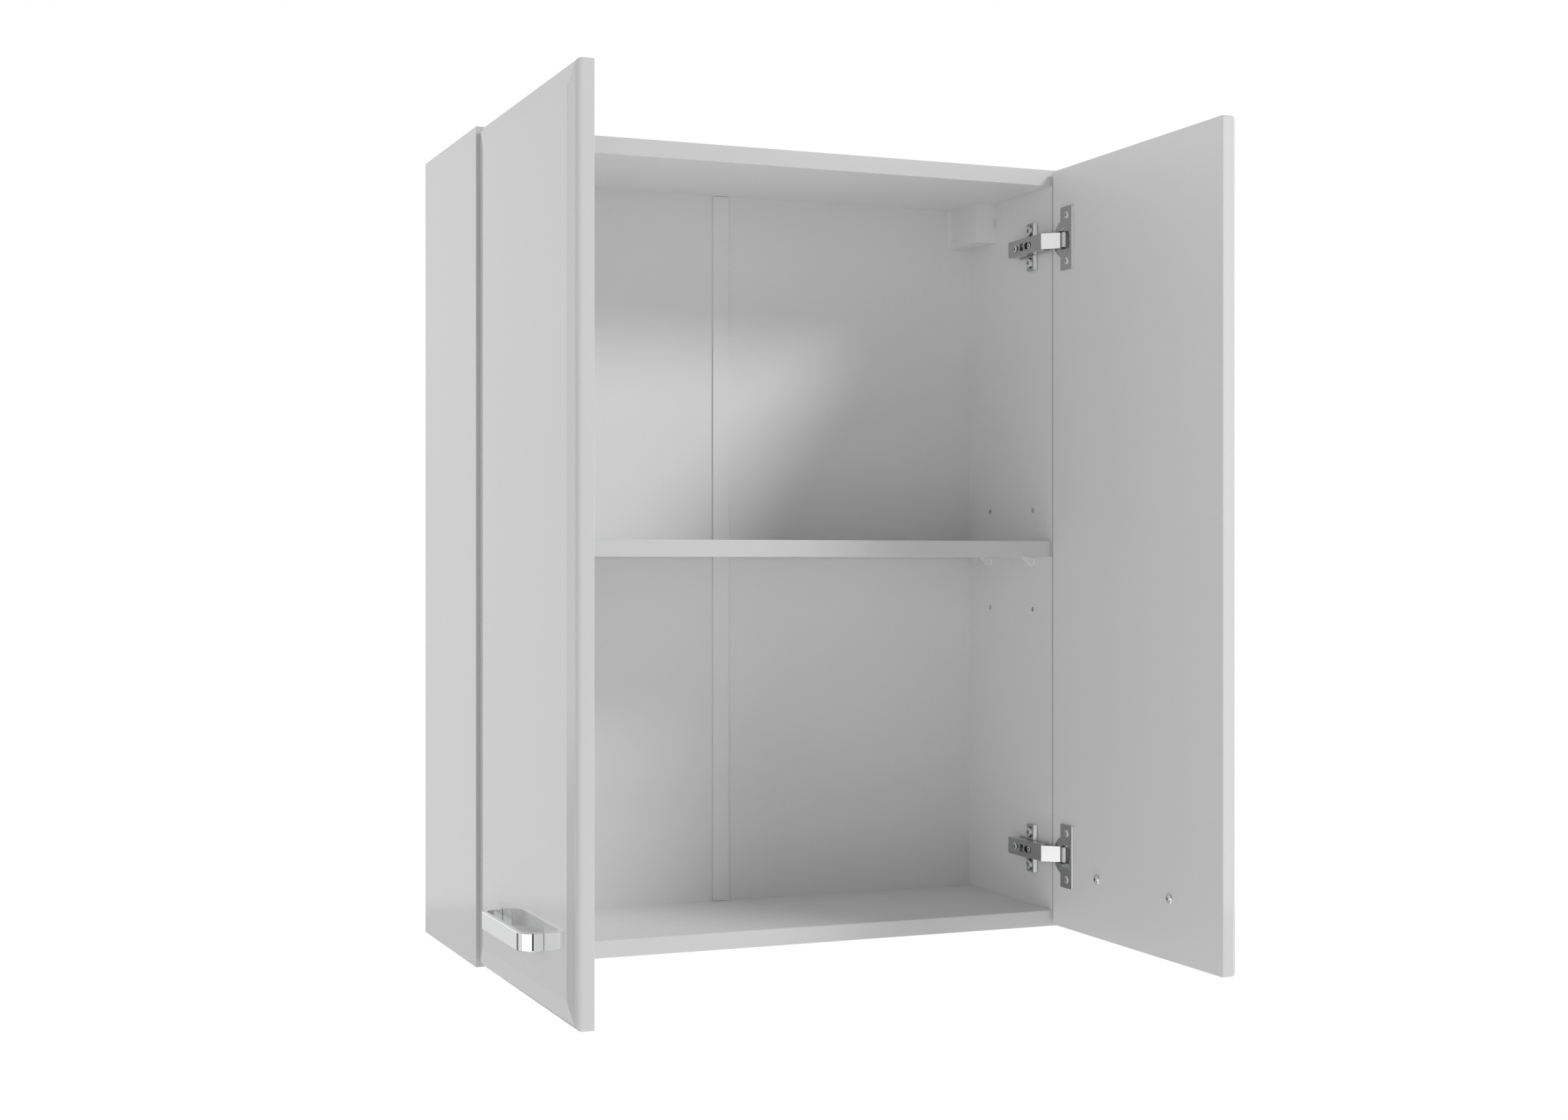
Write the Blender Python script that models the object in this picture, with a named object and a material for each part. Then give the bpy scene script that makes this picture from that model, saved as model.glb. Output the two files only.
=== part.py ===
"""A hanging wall cabinet with two doors on concealed hinges, shown with both doors open at 90 degrees.

The case is made of boards, with a two-piece back set in a groove so that a wall rail fits behind it.
Everything is in metres. X runs along the front, Y from the front to the wall at y = 0, and Z is up.
The origin is the middle of the top panel's rear edge, where the cabinet meets the wall.
"""

import math

import bmesh
import bpy
from mathutils import Matrix, Vector

# Case
CASE_WIDTH = 0.600
CASE_HEIGHT = 0.750
CASE_DEPTH = 0.200
BOARD = 0.016
GAP = 0.0003  # between pieces that touch

# Back: two sheets in a groove, joined by a plastic strip of H section
BACK_INSET = 0.017
BACK_SHEET = 0.003
GROOVE_DEPTH = 0.006
STRIP_WIDTH = 0.015
STRIP_FLANGE = 0.001
STRIP_WEB = 0.0012

# Shelf on four pins, with spare pin holes above and below
SHELF_BOTTOM = 0.3662  # above the bottom of the case
SHELF_FRONT = 0.0005  # behind the front of the case
PIN_COLUMNS = (0.040, 0.132)  # behind the front of the case
PIN_HOLE_RADIUS = 0.0027
PIN_HOLE_DEPTH = 0.010
PIN_PITCH = 0.050
PIN_HEIGHT = SHELF_BOTTOM - PIN_HOLE_RADIUS  # the middle of the holes that the pins are in
PIN_DEPTH = 0.0096  # into the side panel
PIN_REACH = 0.0125
PIN_DROP = 0.0088
PIN_LIP = 0.0012
PIN_HALF = 0.0026
SHELF_SIDE_GAP = 0.0005

# Doors
SIDE_REVEAL = 0.00075
CENTRE_GAP = 0.0015
DOOR_WIDTH = CASE_WIDTH / 2 - SIDE_REVEAL - CENTRE_GAP / 2
DOOR_BOTTOM = 0.0022  # above the bottom of the case
DOOR_HEIGHT = 0.7458
DOOR_THICKNESS = 0.0164
EDGE_RADIUS = 0.0053
INNER_RADIUS = 0.0008
BEVEL_WIDTH = 0.0145
BEVEL_RISE = 0.00178

# How the door stands. Closed, it is CLOSED_GAP in front of the case. Open at 90 degrees, its inner face
# is OPEN_FACE from the case's outer side, and its hinge edge is OPEN_GAP in front of the case.
CLOSED_GAP = 0.0033
OPEN_FACE = 0.01678
OPEN_GAP = 0.00354

# A turn of 90 degrees between those two places has one fixed point, the door's pivot.
PIVOT_INWARD = (OPEN_FACE + CLOSED_GAP + SIDE_REVEAL - OPEN_GAP) / 2
PIVOT_FORWARD = (OPEN_FACE + CLOSED_GAP + OPEN_GAP - SIDE_REVEAL) / 2

# Handles: flat bar bent into a bow, held by two screws through the door
HANDLE_SPACING = 0.128
HANDLE_HEIGHT = 0.056  # above the bottom of the door
HANDLE_BAR = 0.0043
HANDLE_TALL = 0.0148
HANDLE_REACH = 0.0195
HANDLE_CORNER = 0.012
HANDLE_HOLE_RADIUS = 0.0025
THREAD_RADIUS = 0.0016
THREAD_DEPTH = 0.0075

# Screws: (head radius, head height) and (shank radius, length)
HANDLE_SCREW = ((0.0048, 0.0024), (0.0013, 0.0230))
CUP_SCREW = ((0.0037, 0.0011), (0.0016, 0.0120))
PLATE_SCREW = ((0.0044, 0.0030), (0.0030, 0.0135))
CUP_HOLE_RADIUS = 0.0020
CUP_HOLE_DEPTH = 0.0115
PLATE_HOLE_RADIUS = 0.0033
PLATE_HOLE_DEPTH = 0.0115

# Hinges
HINGE_HEIGHTS = {"upper": 0.6785, "lower": 0.0730}  # above the bottom of the case
CUP_INWARD = 0.0225  # from the door's hinge edge to the middle of the cup
CUP_RADIUS = 0.0175
CUP_DEPTH = 0.0130
CUP_WALL = 0.0008
RIM_RADIUS = 0.0180
FLANGE_THICK = 0.0016
FLANGE_NEAR = 0.0175
FLANGE_FAR = 0.0398
FLANGE_TALL = 0.0618
WINDOW_HALF = 0.0104
WINDOW_NEAR = 0.0176
WINDOW_FAR = 0.0345
NOTCH_DEPTH = 0.0065
NOTCH_SIDE_GAP = 0.0008
CUP_SCREW_INWARD = 0.0292
CUP_SCREW_SPACING = 0.045
PLATE_SCREW_BACK = 0.0370  # behind the front of the case
PLATE_SCREW_SPACING = 0.032
PLATE_FRONT = 0.0296
PLATE_REAR = 0.0444
PLATE_TALL = 0.0474
PLATE_THICK = 0.0042
RAIL_WIDTH = 0.0140
RAIL_FRONT = 0.0120
RAIL_REAR = 0.0560
RAIL_TOP = 0.0075  # above the side panel's inner face
ARM_FRONT = 0.0012
ARM_REAR = 0.0690
ARM_WIDTH = 0.0165
ARM_WALL = 0.0012
ARM_TOP = 0.0120
ARM_SKIRT = 0.0016
ARM_CHEEK_REAR = 0.0570

# Hinge links. Each turns on a pin riveted through the arm's cheeks, and ends free inside the cup.
# Places are (inward from the case's outer side, behind the case's front).
LINK_THICK = 0.0014
LINK_PIN_RADIUS = 0.0010
LINK_EYE_RADIUS = 0.0018
OUTER_LINK_HALF = 0.00785
OUTER_PIN = (0.0246, 0.0016)
OUTER_LINK_START = (0.0293, -0.0029)
OUTER_LINK_END = (0.0155, -0.0161)
INNER_LINK_HALF = 0.0052
INNER_PIN = (0.0208, 0.0042)
INNER_LINK_PATH = ((0.0222, 0.0036), (0.0225, -0.0012), (0.0180, -0.0110), (0.0157, -0.0135))

# Hangers in the upper rear corners, each under a plastic cover
COVER_WIDTH = 0.0220
COVER_FRONT = 0.120
COVER_BOTTOM = 0.694
COVER_TALL = 0.0397
COVER_WALL = 0.0015
COVER_ROOM = 0.002  # between the bracket and the cover
SLOT_BOTTOM = 0.7094
SLOT_TALL = 0.0101
SLOT_WIDTH = 0.0028
HOOK_SHEET = 0.0025
HOOK_FROM_WALL = 0.0035
HOOK_TIP = 0.012
CORNER_CUT = 0.003  # how much smaller the back's cut corner is than the cover

ROUND = 16

FRONT = -CASE_DEPTH
CASE_BOTTOM = BOARD / 2 - CASE_HEIGHT
CASE_TOP = BOARD / 2
SIDES = {"left": -1, "right": 1}

# ---------------------------------------------------------------- materials


def material(name, colour, roughness, metallic=0.0):
    made = bpy.data.materials.new(name)
    made.use_nodes = True
    shader = made.node_tree.nodes["Principled BSDF"]
    shader.inputs["Base Color"].default_value = (*colour, 1)
    shader.inputs["Roughness"].default_value = roughness
    shader.inputs["Metallic"].default_value = metallic
    return made


def make_materials():
    return {
        "board": material("board", (0.80, 0.80, 0.80), 0.35),
        "back": material("back", (0.74, 0.74, 0.74), 0.55),
        "door": material("door", (0.80, 0.80, 0.80), 0.12),
        "chrome": material("chrome", (0.86, 0.86, 0.87), 0.08, 1.0),
        "nickel": material("nickel", (0.55, 0.55, 0.56), 0.25, 1.0),
        "zinc": material("zinc", (0.62, 0.62, 0.64), 0.35, 1.0),
        "plastic": material("plastic", (0.82, 0.82, 0.82), 0.30),
    }


# ---------------------------------------------------------------- shapes, in local axes


def box(low, high):
    shape = bmesh.new()
    bmesh.ops.create_cube(shape, size=1)
    size = [b - a for a, b in zip(low, high)]
    middle = [(a + b) / 2 for a, b in zip(low, high)]
    bmesh.ops.scale(shape, vec=size, verts=shape.verts)
    bmesh.ops.translate(shape, vec=middle, verts=shape.verts)
    return shape


def prism(outline, axis, start, end):
    """A closed outline, given in the two other axes in X, Y, Z order, extruded along one axis."""
    shape = bmesh.new()
    others = [i for i in range(3) if i != axis]
    corners = []
    for point in outline:
        place = [0.0, 0.0, 0.0]
        place[axis] = start
        place[others[0]], place[others[1]] = point
        corners.append(shape.verts.new(place))
    face = shape.faces.new(corners)
    extruded = bmesh.ops.extrude_face_region(shape, geom=[face])
    moved = [item for item in extruded["geom"] if isinstance(item, bmesh.types.BMVert)]
    offset = [0.0, 0.0, 0.0]
    offset[axis] = end - start
    bmesh.ops.translate(shape, vec=offset, verts=moved)
    return shape


def turned(profile, axis, centre, steps=ROUND):
    """A profile of (distance along the axis, radius) turned round the axis, closed at both ends."""
    shape = bmesh.new()
    others = [i for i in range(3) if i != axis]
    rings = []
    for along, radius in profile:
        ring = []
        for step in range(steps):
            angle = 2 * math.pi * (step + 0.5) / steps
            place = list(centre)
            place[axis] += along
            place[others[0]] += radius * math.cos(angle)
            place[others[1]] += radius * math.sin(angle)
            ring.append(shape.verts.new(place))
        rings.append(ring)
    bridge(shape, rings)
    return shape


def bridge(shape, rings):
    """Joins rings of the same number of points, one after the other, and closes both ends."""
    for first, second in zip(rings, rings[1:]):
        for i in range(len(first)):
            j = (i + 1) % len(first)
            shape.faces.new((first[i], first[j], second[j], second[i]))
    shape.faces.new(rings[0])
    shape.faces.new(rings[-1])


def arc(centre, radius, start, end, steps):
    """Points round a centre, from one angle in degrees to another."""
    points = []
    for step in range(steps + 1):
        angle = math.radians(start + (end - start) * step / steps)
        points.append((centre[0] + radius * math.cos(angle), centre[1] + radius * math.sin(angle)))
    return points


def strip(path, thickness):
    """The outline of a strip that has this thickness on the left of its path."""
    offset = []
    for i, point in enumerate(path):
        here = Vector(point)
        before = Vector(path[i - 1]) if i else None
        after = Vector(path[i + 1]) if i + 1 < len(path) else None
        directions = []
        if before is not None:
            directions.append((here - before).normalized())
        if after is not None:
            directions.append((after - here).normalized())
        normals = [Vector((-d.y, d.x)) for d in directions]
        normal = sum(normals, Vector((0, 0))).normalized()
        offset.append(here + normal * thickness / normal.dot(normals[0]))
    return [tuple(point) for point in path] + [tuple(point) for point in reversed(offset)]


# ---------------------------------------------------------------- local axes of the case and of a door


def case_axes(side, height=0.0):
    """Axes (inward from the outer side, back from the front, up) on one side of the case."""
    columns = Matrix(((-side, 0, 0), (0, 1, 0), (0, 0, 1)))
    place = Vector((side * CASE_WIDTH / 2, FRONT, CASE_BOTTOM + height))
    return Matrix.Translation(place) @ columns.to_4x4()


def door_axes(side, height=0.0):
    """Axes (from the hinge edge along the door, out through its front, up) on an open door."""
    columns = Matrix(((0, side, 0), (-1, 0, 0), (0, 0, 1)))
    place = Vector((side * (CASE_WIDTH / 2 - OPEN_FACE), FRONT - OPEN_GAP, CASE_BOTTOM + height))
    return Matrix.Translation(place) @ columns.to_4x4()


# ---------------------------------------------------------------- objects


def to_mesh(name, shape, axes, origin):
    bmesh.ops.transform(shape, matrix=Matrix.Translation(-origin) @ axes, verts=shape.verts)
    bmesh.ops.recalc_face_normals(shape, faces=shape.faces)
    mesh = bpy.data.meshes.new(name)
    shape.to_mesh(mesh)
    shape.free()
    return mesh


def piece(name, shape, finish, axes=None, pivot=None):
    """One named sub-part, parented to the empty it moves with."""
    origin = pivot.location.copy() if pivot else Vector()
    mesh = to_mesh(name, shape, axes or Matrix(), origin)
    mesh.materials.append(finish)
    mesh.shade_smooth()
    mesh.set_sharp_from_angle(angle=math.radians(30))
    made = bpy.data.objects.new(name, mesh)
    bpy.context.scene.collection.objects.link(made)
    made.parent = pivot
    return made


def combine(target, shape, operation, axes=None):
    """Cuts a shape from a piece, or joins it on."""
    origin = target.parent.location.copy() if target.parent else Vector()
    label = f"{target.name}_{operation.lower()}_{len(target.modifiers)}"
    helper = bpy.data.objects.new(label, to_mesh(label, shape, axes or Matrix(), origin))
    bpy.context.scene.collection.objects.link(helper)
    helper.parent = target.parent
    helper.display_type = "WIRE"
    helper.hide_render = True
    modifier = target.modifiers.new(label, "BOOLEAN")
    modifier.operation = operation
    modifier.solver = "EXACT"
    modifier.object = helper


def merged(shapes):
    """Shapes that don't touch each other, as one cutter."""
    mesh = bpy.data.meshes.new("merging")
    whole = bmesh.new()
    for shape in shapes:
        shape.to_mesh(mesh)
        shape.free()
        whole.from_mesh(mesh)
    bpy.data.meshes.remove(mesh)
    return whole


def pivot_empty(name, place):
    empty = bpy.data.objects.new(name, None)
    empty.location = place
    empty.empty_display_size = 0.03
    bpy.context.scene.collection.objects.link(empty)
    return empty


# ---------------------------------------------------------------- case


def side_panel(word, side, finish):
    back = CASE_DEPTH - BACK_INSET
    sheet = (back - BACK_SHEET - GAP, back + GAP)
    groove = BOARD - GROOVE_DEPTH
    outline = [
        (0, 0),
        (BOARD, 0),
        (BOARD, sheet[0]),
        (groove, sheet[0]),
        (groove, sheet[1]),
        (BOARD, sheet[1]),
        (BOARD, CASE_DEPTH),
        (0, CASE_DEPTH),
    ]
    panel = piece(f"side_{word}", prism(outline, 2, 0, CASE_HEIGHT), finish, case_axes(side))
    holes = []
    for row in (-1, 0, 1):
        for column in PIN_COLUMNS:
            profile = [(0, PIN_HOLE_RADIUS), (PIN_HOLE_DEPTH + BOARD, PIN_HOLE_RADIUS)]
            centre = (BOARD - PIN_HOLE_DEPTH, column, PIN_HEIGHT + row * PIN_PITCH)
            holes.append(turned(profile, 0, centre, 12))
    for height in HINGE_HEIGHTS.values():
        for end in (-1, 1):
            profile = [(0, PLATE_HOLE_RADIUS), (BOARD, PLATE_HOLE_RADIUS)]
            centre = (BOARD - PLATE_HOLE_DEPTH, PLATE_SCREW_BACK, height + end * PLATE_SCREW_SPACING / 2)
            holes.append(turned(profile, 0, centre, 12))
    combine(panel, merged(holes), "DIFFERENCE", case_axes(side))


def flat_panel(name, low, inner_up, finish):
    """The top or the bottom panel, with the back's groove in its inner face."""
    back = CASE_DEPTH - BACK_INSET
    sheet = (FRONT + back - BACK_SHEET - GAP, FRONT + back + GAP)
    inner = low + BOARD if inner_up else low
    outer = low if inner_up else low + BOARD
    groove = inner - GROOVE_DEPTH if inner_up else inner + GROOVE_DEPTH
    outline = [
        (FRONT, outer),
        (FRONT, inner),
        (sheet[0], inner),
        (sheet[0], groove),
        (sheet[1], groove),
        (sheet[1], inner),
        (0, inner),
        (0, outer),
    ]
    half = CASE_WIDTH / 2 - BOARD - GAP
    piece(name, prism(outline, 0, -half, half), finish)


def back_sheet(word, side, finish):
    """Half of the back. Its outer upper corner is cut away for the hanger's hook."""
    rear = FRONT + CASE_DEPTH - BACK_INSET
    reach = CASE_WIDTH / 2 - BOARD + GROOVE_DEPTH - GAP
    low = CASE_BOTTOM + BOARD - GROOVE_DEPTH + GAP
    high = CASE_TOP - BOARD + GROOVE_DEPTH - GAP
    notch_side = CASE_WIDTH / 2 - BOARD - COVER_WIDTH + CORNER_CUT
    notch_low = CASE_BOTTOM + COVER_BOTTOM + 2 * CORNER_CUT
    outline = [
        (side * (STRIP_WEB / 2 + GAP), low),
        (side * reach, low),
        (side * reach, notch_low),
        (side * notch_side, notch_low),
        (side * notch_side, high),
        (side * (STRIP_WEB / 2 + GAP), high),
    ]
    piece(f"back_{word}", prism(outline, 1, rear - BACK_SHEET, rear), finish)


def joint_strip(finish):
    """The plastic strip of H section that holds the two back sheets together."""
    rear = FRONT + CASE_DEPTH - BACK_INSET
    wide = STRIP_WIDTH / 2
    web = STRIP_WEB / 2
    inner = (rear - BACK_SHEET - GAP, rear + GAP)
    outer = (inner[0] - STRIP_FLANGE, inner[1] + STRIP_FLANGE)
    outline = [
        (-wide, outer[0]),
        (wide, outer[0]),
        (wide, inner[0]),
        (web, inner[0]),
        (web, inner[1]),
        (wide, inner[1]),
        (wide, outer[1]),
        (-wide, outer[1]),
        (-wide, inner[1]),
        (-web, inner[1]),
        (-web, inner[0]),
        (-wide, inner[0]),
    ]
    low = CASE_BOTTOM + BOARD + GAP
    high = CASE_TOP - BOARD - GAP
    piece("back_joint_strip", prism(outline, 2, low, high), finish)


def shelf(finish):
    half = CASE_WIDTH / 2 - BOARD - SHELF_SIDE_GAP
    rear = FRONT + CASE_DEPTH - BACK_INSET - BACK_SHEET - 2 * GAP - STRIP_FLANGE
    low = (-half, FRONT + SHELF_FRONT, CASE_BOTTOM + SHELF_BOTTOM)
    high = (half, rear - GAP, CASE_BOTTOM + SHELF_BOTTOM + BOARD)
    piece("shelf", box(low, high), finish)


def shelf_pin(name, side, back, finish):
    """A plastic pin with a three-cornered gusset under the shelf."""
    axes = case_axes(side, PIN_HEIGHT)
    radius = PIN_HOLE_RADIUS - GAP
    start = BOARD + GAP
    profile = [(0, radius * 0.8), (radius * 0.25, radius), (PIN_DEPTH + 0.001, radius)]
    shank = turned(profile, 0, (BOARD - PIN_DEPTH, back, 0), 12)
    pin = piece(name, shank, finish, axes)
    gusset = [
        (start, radius),
        (start + PIN_REACH, radius),
        (start + PIN_REACH, radius - PIN_LIP),
        (start + PIN_LIP, radius - PIN_DROP),
        (start, radius - PIN_DROP),
    ]
    combine(pin, prism(gusset, 1, back - PIN_HALF, back + PIN_HALF), "UNION", axes)


def hanger(word, side, materials):
    """A hanger bracket, whose hook reaches through the back, and the cover over it."""
    back = CASE_DEPTH - BACK_INSET
    axes = case_axes(side)
    low = COVER_BOTTOM + COVER_WALL + COVER_ROOM
    high = COVER_BOTTOM + COVER_TALL - COVER_WALL - COVER_ROOM
    front = COVER_FRONT + 3 * COVER_ROOM
    rear = back - BACK_SHEET - 1.5 * COVER_ROOM
    hook_top = high - 0.001
    hook_end = CASE_DEPTH - HOOK_FROM_WALL
    outline = [
        (front, low),
        (rear, low),
        (rear, hook_top - HOOK_SHEET),
        (hook_end - HOOK_SHEET, hook_top - HOOK_SHEET),
        (hook_end - HOOK_SHEET, low + HOOK_TIP),
        (hook_end, low + HOOK_TIP),
        (hook_end, hook_top),
        (rear, hook_top),
        (rear, high),
        (front, high),
    ]
    outer = BOARD + COVER_WIDTH - COVER_WALL - COVER_ROOM
    solid = prism(outline, 0, BOARD + GAP, outer)
    piece(f"hanger_bracket_{word}", solid, materials["zinc"], axes)
    rear = back - BACK_SHEET - 2 * GAP
    top = COVER_BOTTOM + COVER_TALL
    shell = box((BOARD + GAP, COVER_FRONT, COVER_BOTTOM), (BOARD + COVER_WIDTH, rear, top))
    cover = piece(f"hanger_cover_{word}", shell, materials["plastic"], axes)
    hollow_low = (BOARD - 0.002, COVER_FRONT + COVER_WALL, COVER_BOTTOM + COVER_WALL)
    hollow_high = (BOARD + COVER_WIDTH - COVER_WALL, rear + 0.002, top - COVER_WALL)
    combine(cover, box(hollow_low, hollow_high), "DIFFERENCE", axes)
    slot_low = (BOARD - 0.002, COVER_FRONT - 0.002, SLOT_BOTTOM)
    slot_high = (BOARD + SLOT_WIDTH, COVER_FRONT + COVER_WALL + 0.002, SLOT_BOTTOM + SLOT_TALL)
    combine(cover, box(slot_low, slot_high), "DIFFERENCE", axes)


def make_case(materials):
    for word, side in SIDES.items():
        side_panel(word, side, materials["board"])
        back_sheet(word, side, materials["back"])
        hanger(word, side, materials)
        for row, back in zip(("front", "rear"), PIN_COLUMNS):
            shelf_pin(f"shelf_pin_{row}_{word}", side, back, materials["plastic"])
    flat_panel("bottom_panel", CASE_BOTTOM, True, materials["board"])
    flat_panel("top_panel", CASE_TOP - BOARD, False, materials["board"])
    joint_strip(materials["plastic"])
    shelf(materials["board"])


# ---------------------------------------------------------------- doors and handles


def handle_places():
    middle = DOOR_WIDTH / 2
    return (middle - HANDLE_SPACING / 2, middle + HANDLE_SPACING / 2)


def door_panel(word, side, finish, pivot):
    """A board with rounded edges and a shallow bevelled frame round a flat, raised middle."""
    shoulder = DOOR_THICKNESS - BEVEL_RISE
    rounded = arc((EDGE_RADIUS, shoulder - EDGE_RADIUS), EDGE_RADIUS, 180, 90, 5)
    inner = arc((INNER_RADIUS, INNER_RADIUS), INNER_RADIUS, 270, 180, 3)
    profile = inner + rounded + [(EDGE_RADIUS + BEVEL_WIDTH, DOOR_THICKNESS)]
    shape = bmesh.new()
    rings = []
    for inset, out in profile:
        left, right = inset, DOOR_WIDTH - inset
        low, high = inset, DOOR_HEIGHT - inset
        corners = [(left, low), (right, low), (right, high), (left, high)]
        rings.append([shape.verts.new((u, out, z)) for u, z in corners])
    bridge(shape, rings)
    axes = door_axes(side, DOOR_BOTTOM)
    door = piece(f"door_{word}", shape, finish, axes, pivot)
    holes = []
    for height in HINGE_HEIGHTS.values():
        z = height - DOOR_BOTTOM
        profile = [(-0.01, CUP_RADIUS + GAP), (CUP_DEPTH + GAP, CUP_RADIUS + GAP)]
        holes.append(turned(profile, 1, (CUP_INWARD, 0, z), 32))
        for end in (-1, 1):
            centre = (CUP_SCREW_INWARD, 0, z + end * CUP_SCREW_SPACING / 2)
            profile = [(-0.01, CUP_HOLE_RADIUS), (CUP_HOLE_DEPTH, CUP_HOLE_RADIUS)]
            holes.append(turned(profile, 1, centre, 12))
    for place in handle_places():
        profile = [(-0.01, HANDLE_HOLE_RADIUS), (DOOR_THICKNESS + 0.01, HANDLE_HOLE_RADIUS)]
        holes.append(turned(profile, 1, (place, 0, HANDLE_HEIGHT), 12))
    combine(door, merged(holes), "DIFFERENCE", axes)


def handle(word, side, finish, pivot):
    """Flat bar bent into a bow with two round corners, tapped at both ends for the screws."""
    ends = handle_places()
    start = DOOR_THICKNESS + GAP
    top = DOOR_THICKNESS + HANDLE_REACH
    half = HANDLE_BAR / 2
    outer = [(ends[0] - half, start)]
    outer += arc((ends[0] - half + HANDLE_CORNER, top - HANDLE_CORNER), HANDLE_CORNER, 180, 90, 8)
    outer += arc((ends[1] + half - HANDLE_CORNER, top - HANDLE_CORNER), HANDLE_CORNER, 90, 0, 8)
    outer.append((ends[1] + half, start))
    bend = HANDLE_CORNER - HANDLE_BAR
    inner = [(ends[1] - half, start)]
    inner += arc((ends[1] + half - HANDLE_CORNER, top - HANDLE_CORNER), bend, 0, 90, 8)
    inner += arc((ends[0] - half + HANDLE_CORNER, top - HANDLE_CORNER), bend, 90, 180, 8)
    inner.append((ends[0] + half, start))
    low = HANDLE_HEIGHT - HANDLE_TALL / 2
    axes = door_axes(side, DOOR_BOTTOM)
    bar = prism(outer + inner, 2, low, low + HANDLE_TALL)
    made = piece(f"handle_{word}", bar, finish, axes, pivot)
    threads = []
    for place in ends:
        profile = [(-0.002, THREAD_RADIUS), (THREAD_DEPTH, THREAD_RADIUS)]
        threads.append(turned(profile, 1, (place, start, HANDLE_HEIGHT), 12))
    combine(made, merged(threads), "DIFFERENCE", axes)


def screw(name, axes, axis, centre, out, sizes, finish, pivot=None):
    """A screw whose head stands on a face at the centre. out is +1 or -1, the way the head points."""
    (head_radius, head_tall), (shank_radius, length) = sizes
    profile = [
        (-length, shank_radius * 0.7),
        (-length + shank_radius * 0.5, shank_radius),
        (GAP, shank_radius),
        (GAP, head_radius),
        (head_tall * 0.55, head_radius * 0.97),
        (head_tall, head_radius * 0.62),
    ]
    profile = [(along * out, radius) for along, radius in profile]
    return piece(name, turned(profile, axis, centre, 14), finish, axes, pivot)


def handle_screws(word, side, finish, pivot):
    """Pan head screws put in from the door's inner face, into the handle's tapped ends."""
    axes = door_axes(side, DOOR_BOTTOM)
    for label, place in zip(("near", "far"), handle_places()):
        centre = (place, 0, HANDLE_HEIGHT)
        name = f"handle_screw_{label}_{word}"
        screw(name, axes, 1, centre, -1, HANDLE_SCREW, finish, pivot)


# ---------------------------------------------------------------- hinges


def clamped(inward, height):
    """A point of the cup's inner wall, kept inside the room that the links need."""
    return min(inward, WINDOW_FAR), max(-WINDOW_HALF, min(height, WINDOW_HALF))


def hinge_cup(word, side, level, finish, pivot):
    """The steel cup sunk in the door, with its screw flange, and a window that the links pass through."""
    axes = door_axes(side, HINGE_HEIGHTS[level])
    profile = [
        (-FLANGE_THICK, RIM_RADIUS),
        (-GAP, RIM_RADIUS),
        (-GAP, CUP_RADIUS),
        (CUP_DEPTH, CUP_RADIUS),
    ]
    bowl = turned(profile, 1, (CUP_INWARD, 0, 0), 32)
    cup = piece(f"hinge_cup_{level}_{word}", bowl, finish, axes, pivot)
    half = FLANGE_TALL / 2
    low = (FLANGE_NEAR, -FLANGE_THICK - 0.0001, -half)
    combine(cup, box(low, (FLANGE_FAR, -GAP - 0.0001, half)), "UNION", axes)
    beyond = box((FLANGE_FAR + GAP, -0.01, -half), (FLANGE_FAR + 0.01, -GAP / 2, half))
    combine(cup, beyond, "DIFFERENCE", axes)
    wall = arc((CUP_INWARD, 0), CUP_RADIUS - CUP_WALL, 0, 354, 59)
    room = list(dict.fromkeys(clamped(u, z) for u, z in wall))
    combine(cup, prism(room, 1, GAP, CUP_DEPTH - CUP_WALL), "DIFFERENCE", axes)
    window = box((WINDOW_NEAR, -0.005, -WINDOW_HALF), (WINDOW_FAR, 0.002, WINDOW_HALF))
    combine(cup, window, "DIFFERENCE", axes)
    notch_half = OUTER_LINK_HALF + NOTCH_SIDE_GAP
    notch_low = (CUP_INWARD - CUP_RADIUS - 0.004, -0.005, -notch_half)
    combine(cup, box(notch_low, (CUP_INWARD, NOTCH_DEPTH, notch_half)), "DIFFERENCE", axes)
    holes = []
    for end in (-1, 1):
        centre = (CUP_SCREW_INWARD, 0, end * CUP_SCREW_SPACING / 2)
        holes.append(turned([(-0.01, CUP_HOLE_RADIUS), (0.005, CUP_HOLE_RADIUS)], 1, centre, 12))
    combine(cup, merged(holes), "DIFFERENCE", axes)
    for label, end in (("top", 1), ("bottom", -1)):
        centre = (CUP_SCREW_INWARD, -FLANGE_THICK - 0.0001, end * CUP_SCREW_SPACING / 2)
        name = f"cup_screw_{level}_{label}_{word}"
        screw(name, axes, 1, centre, -1, CUP_SCREW, finish, pivot)


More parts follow.
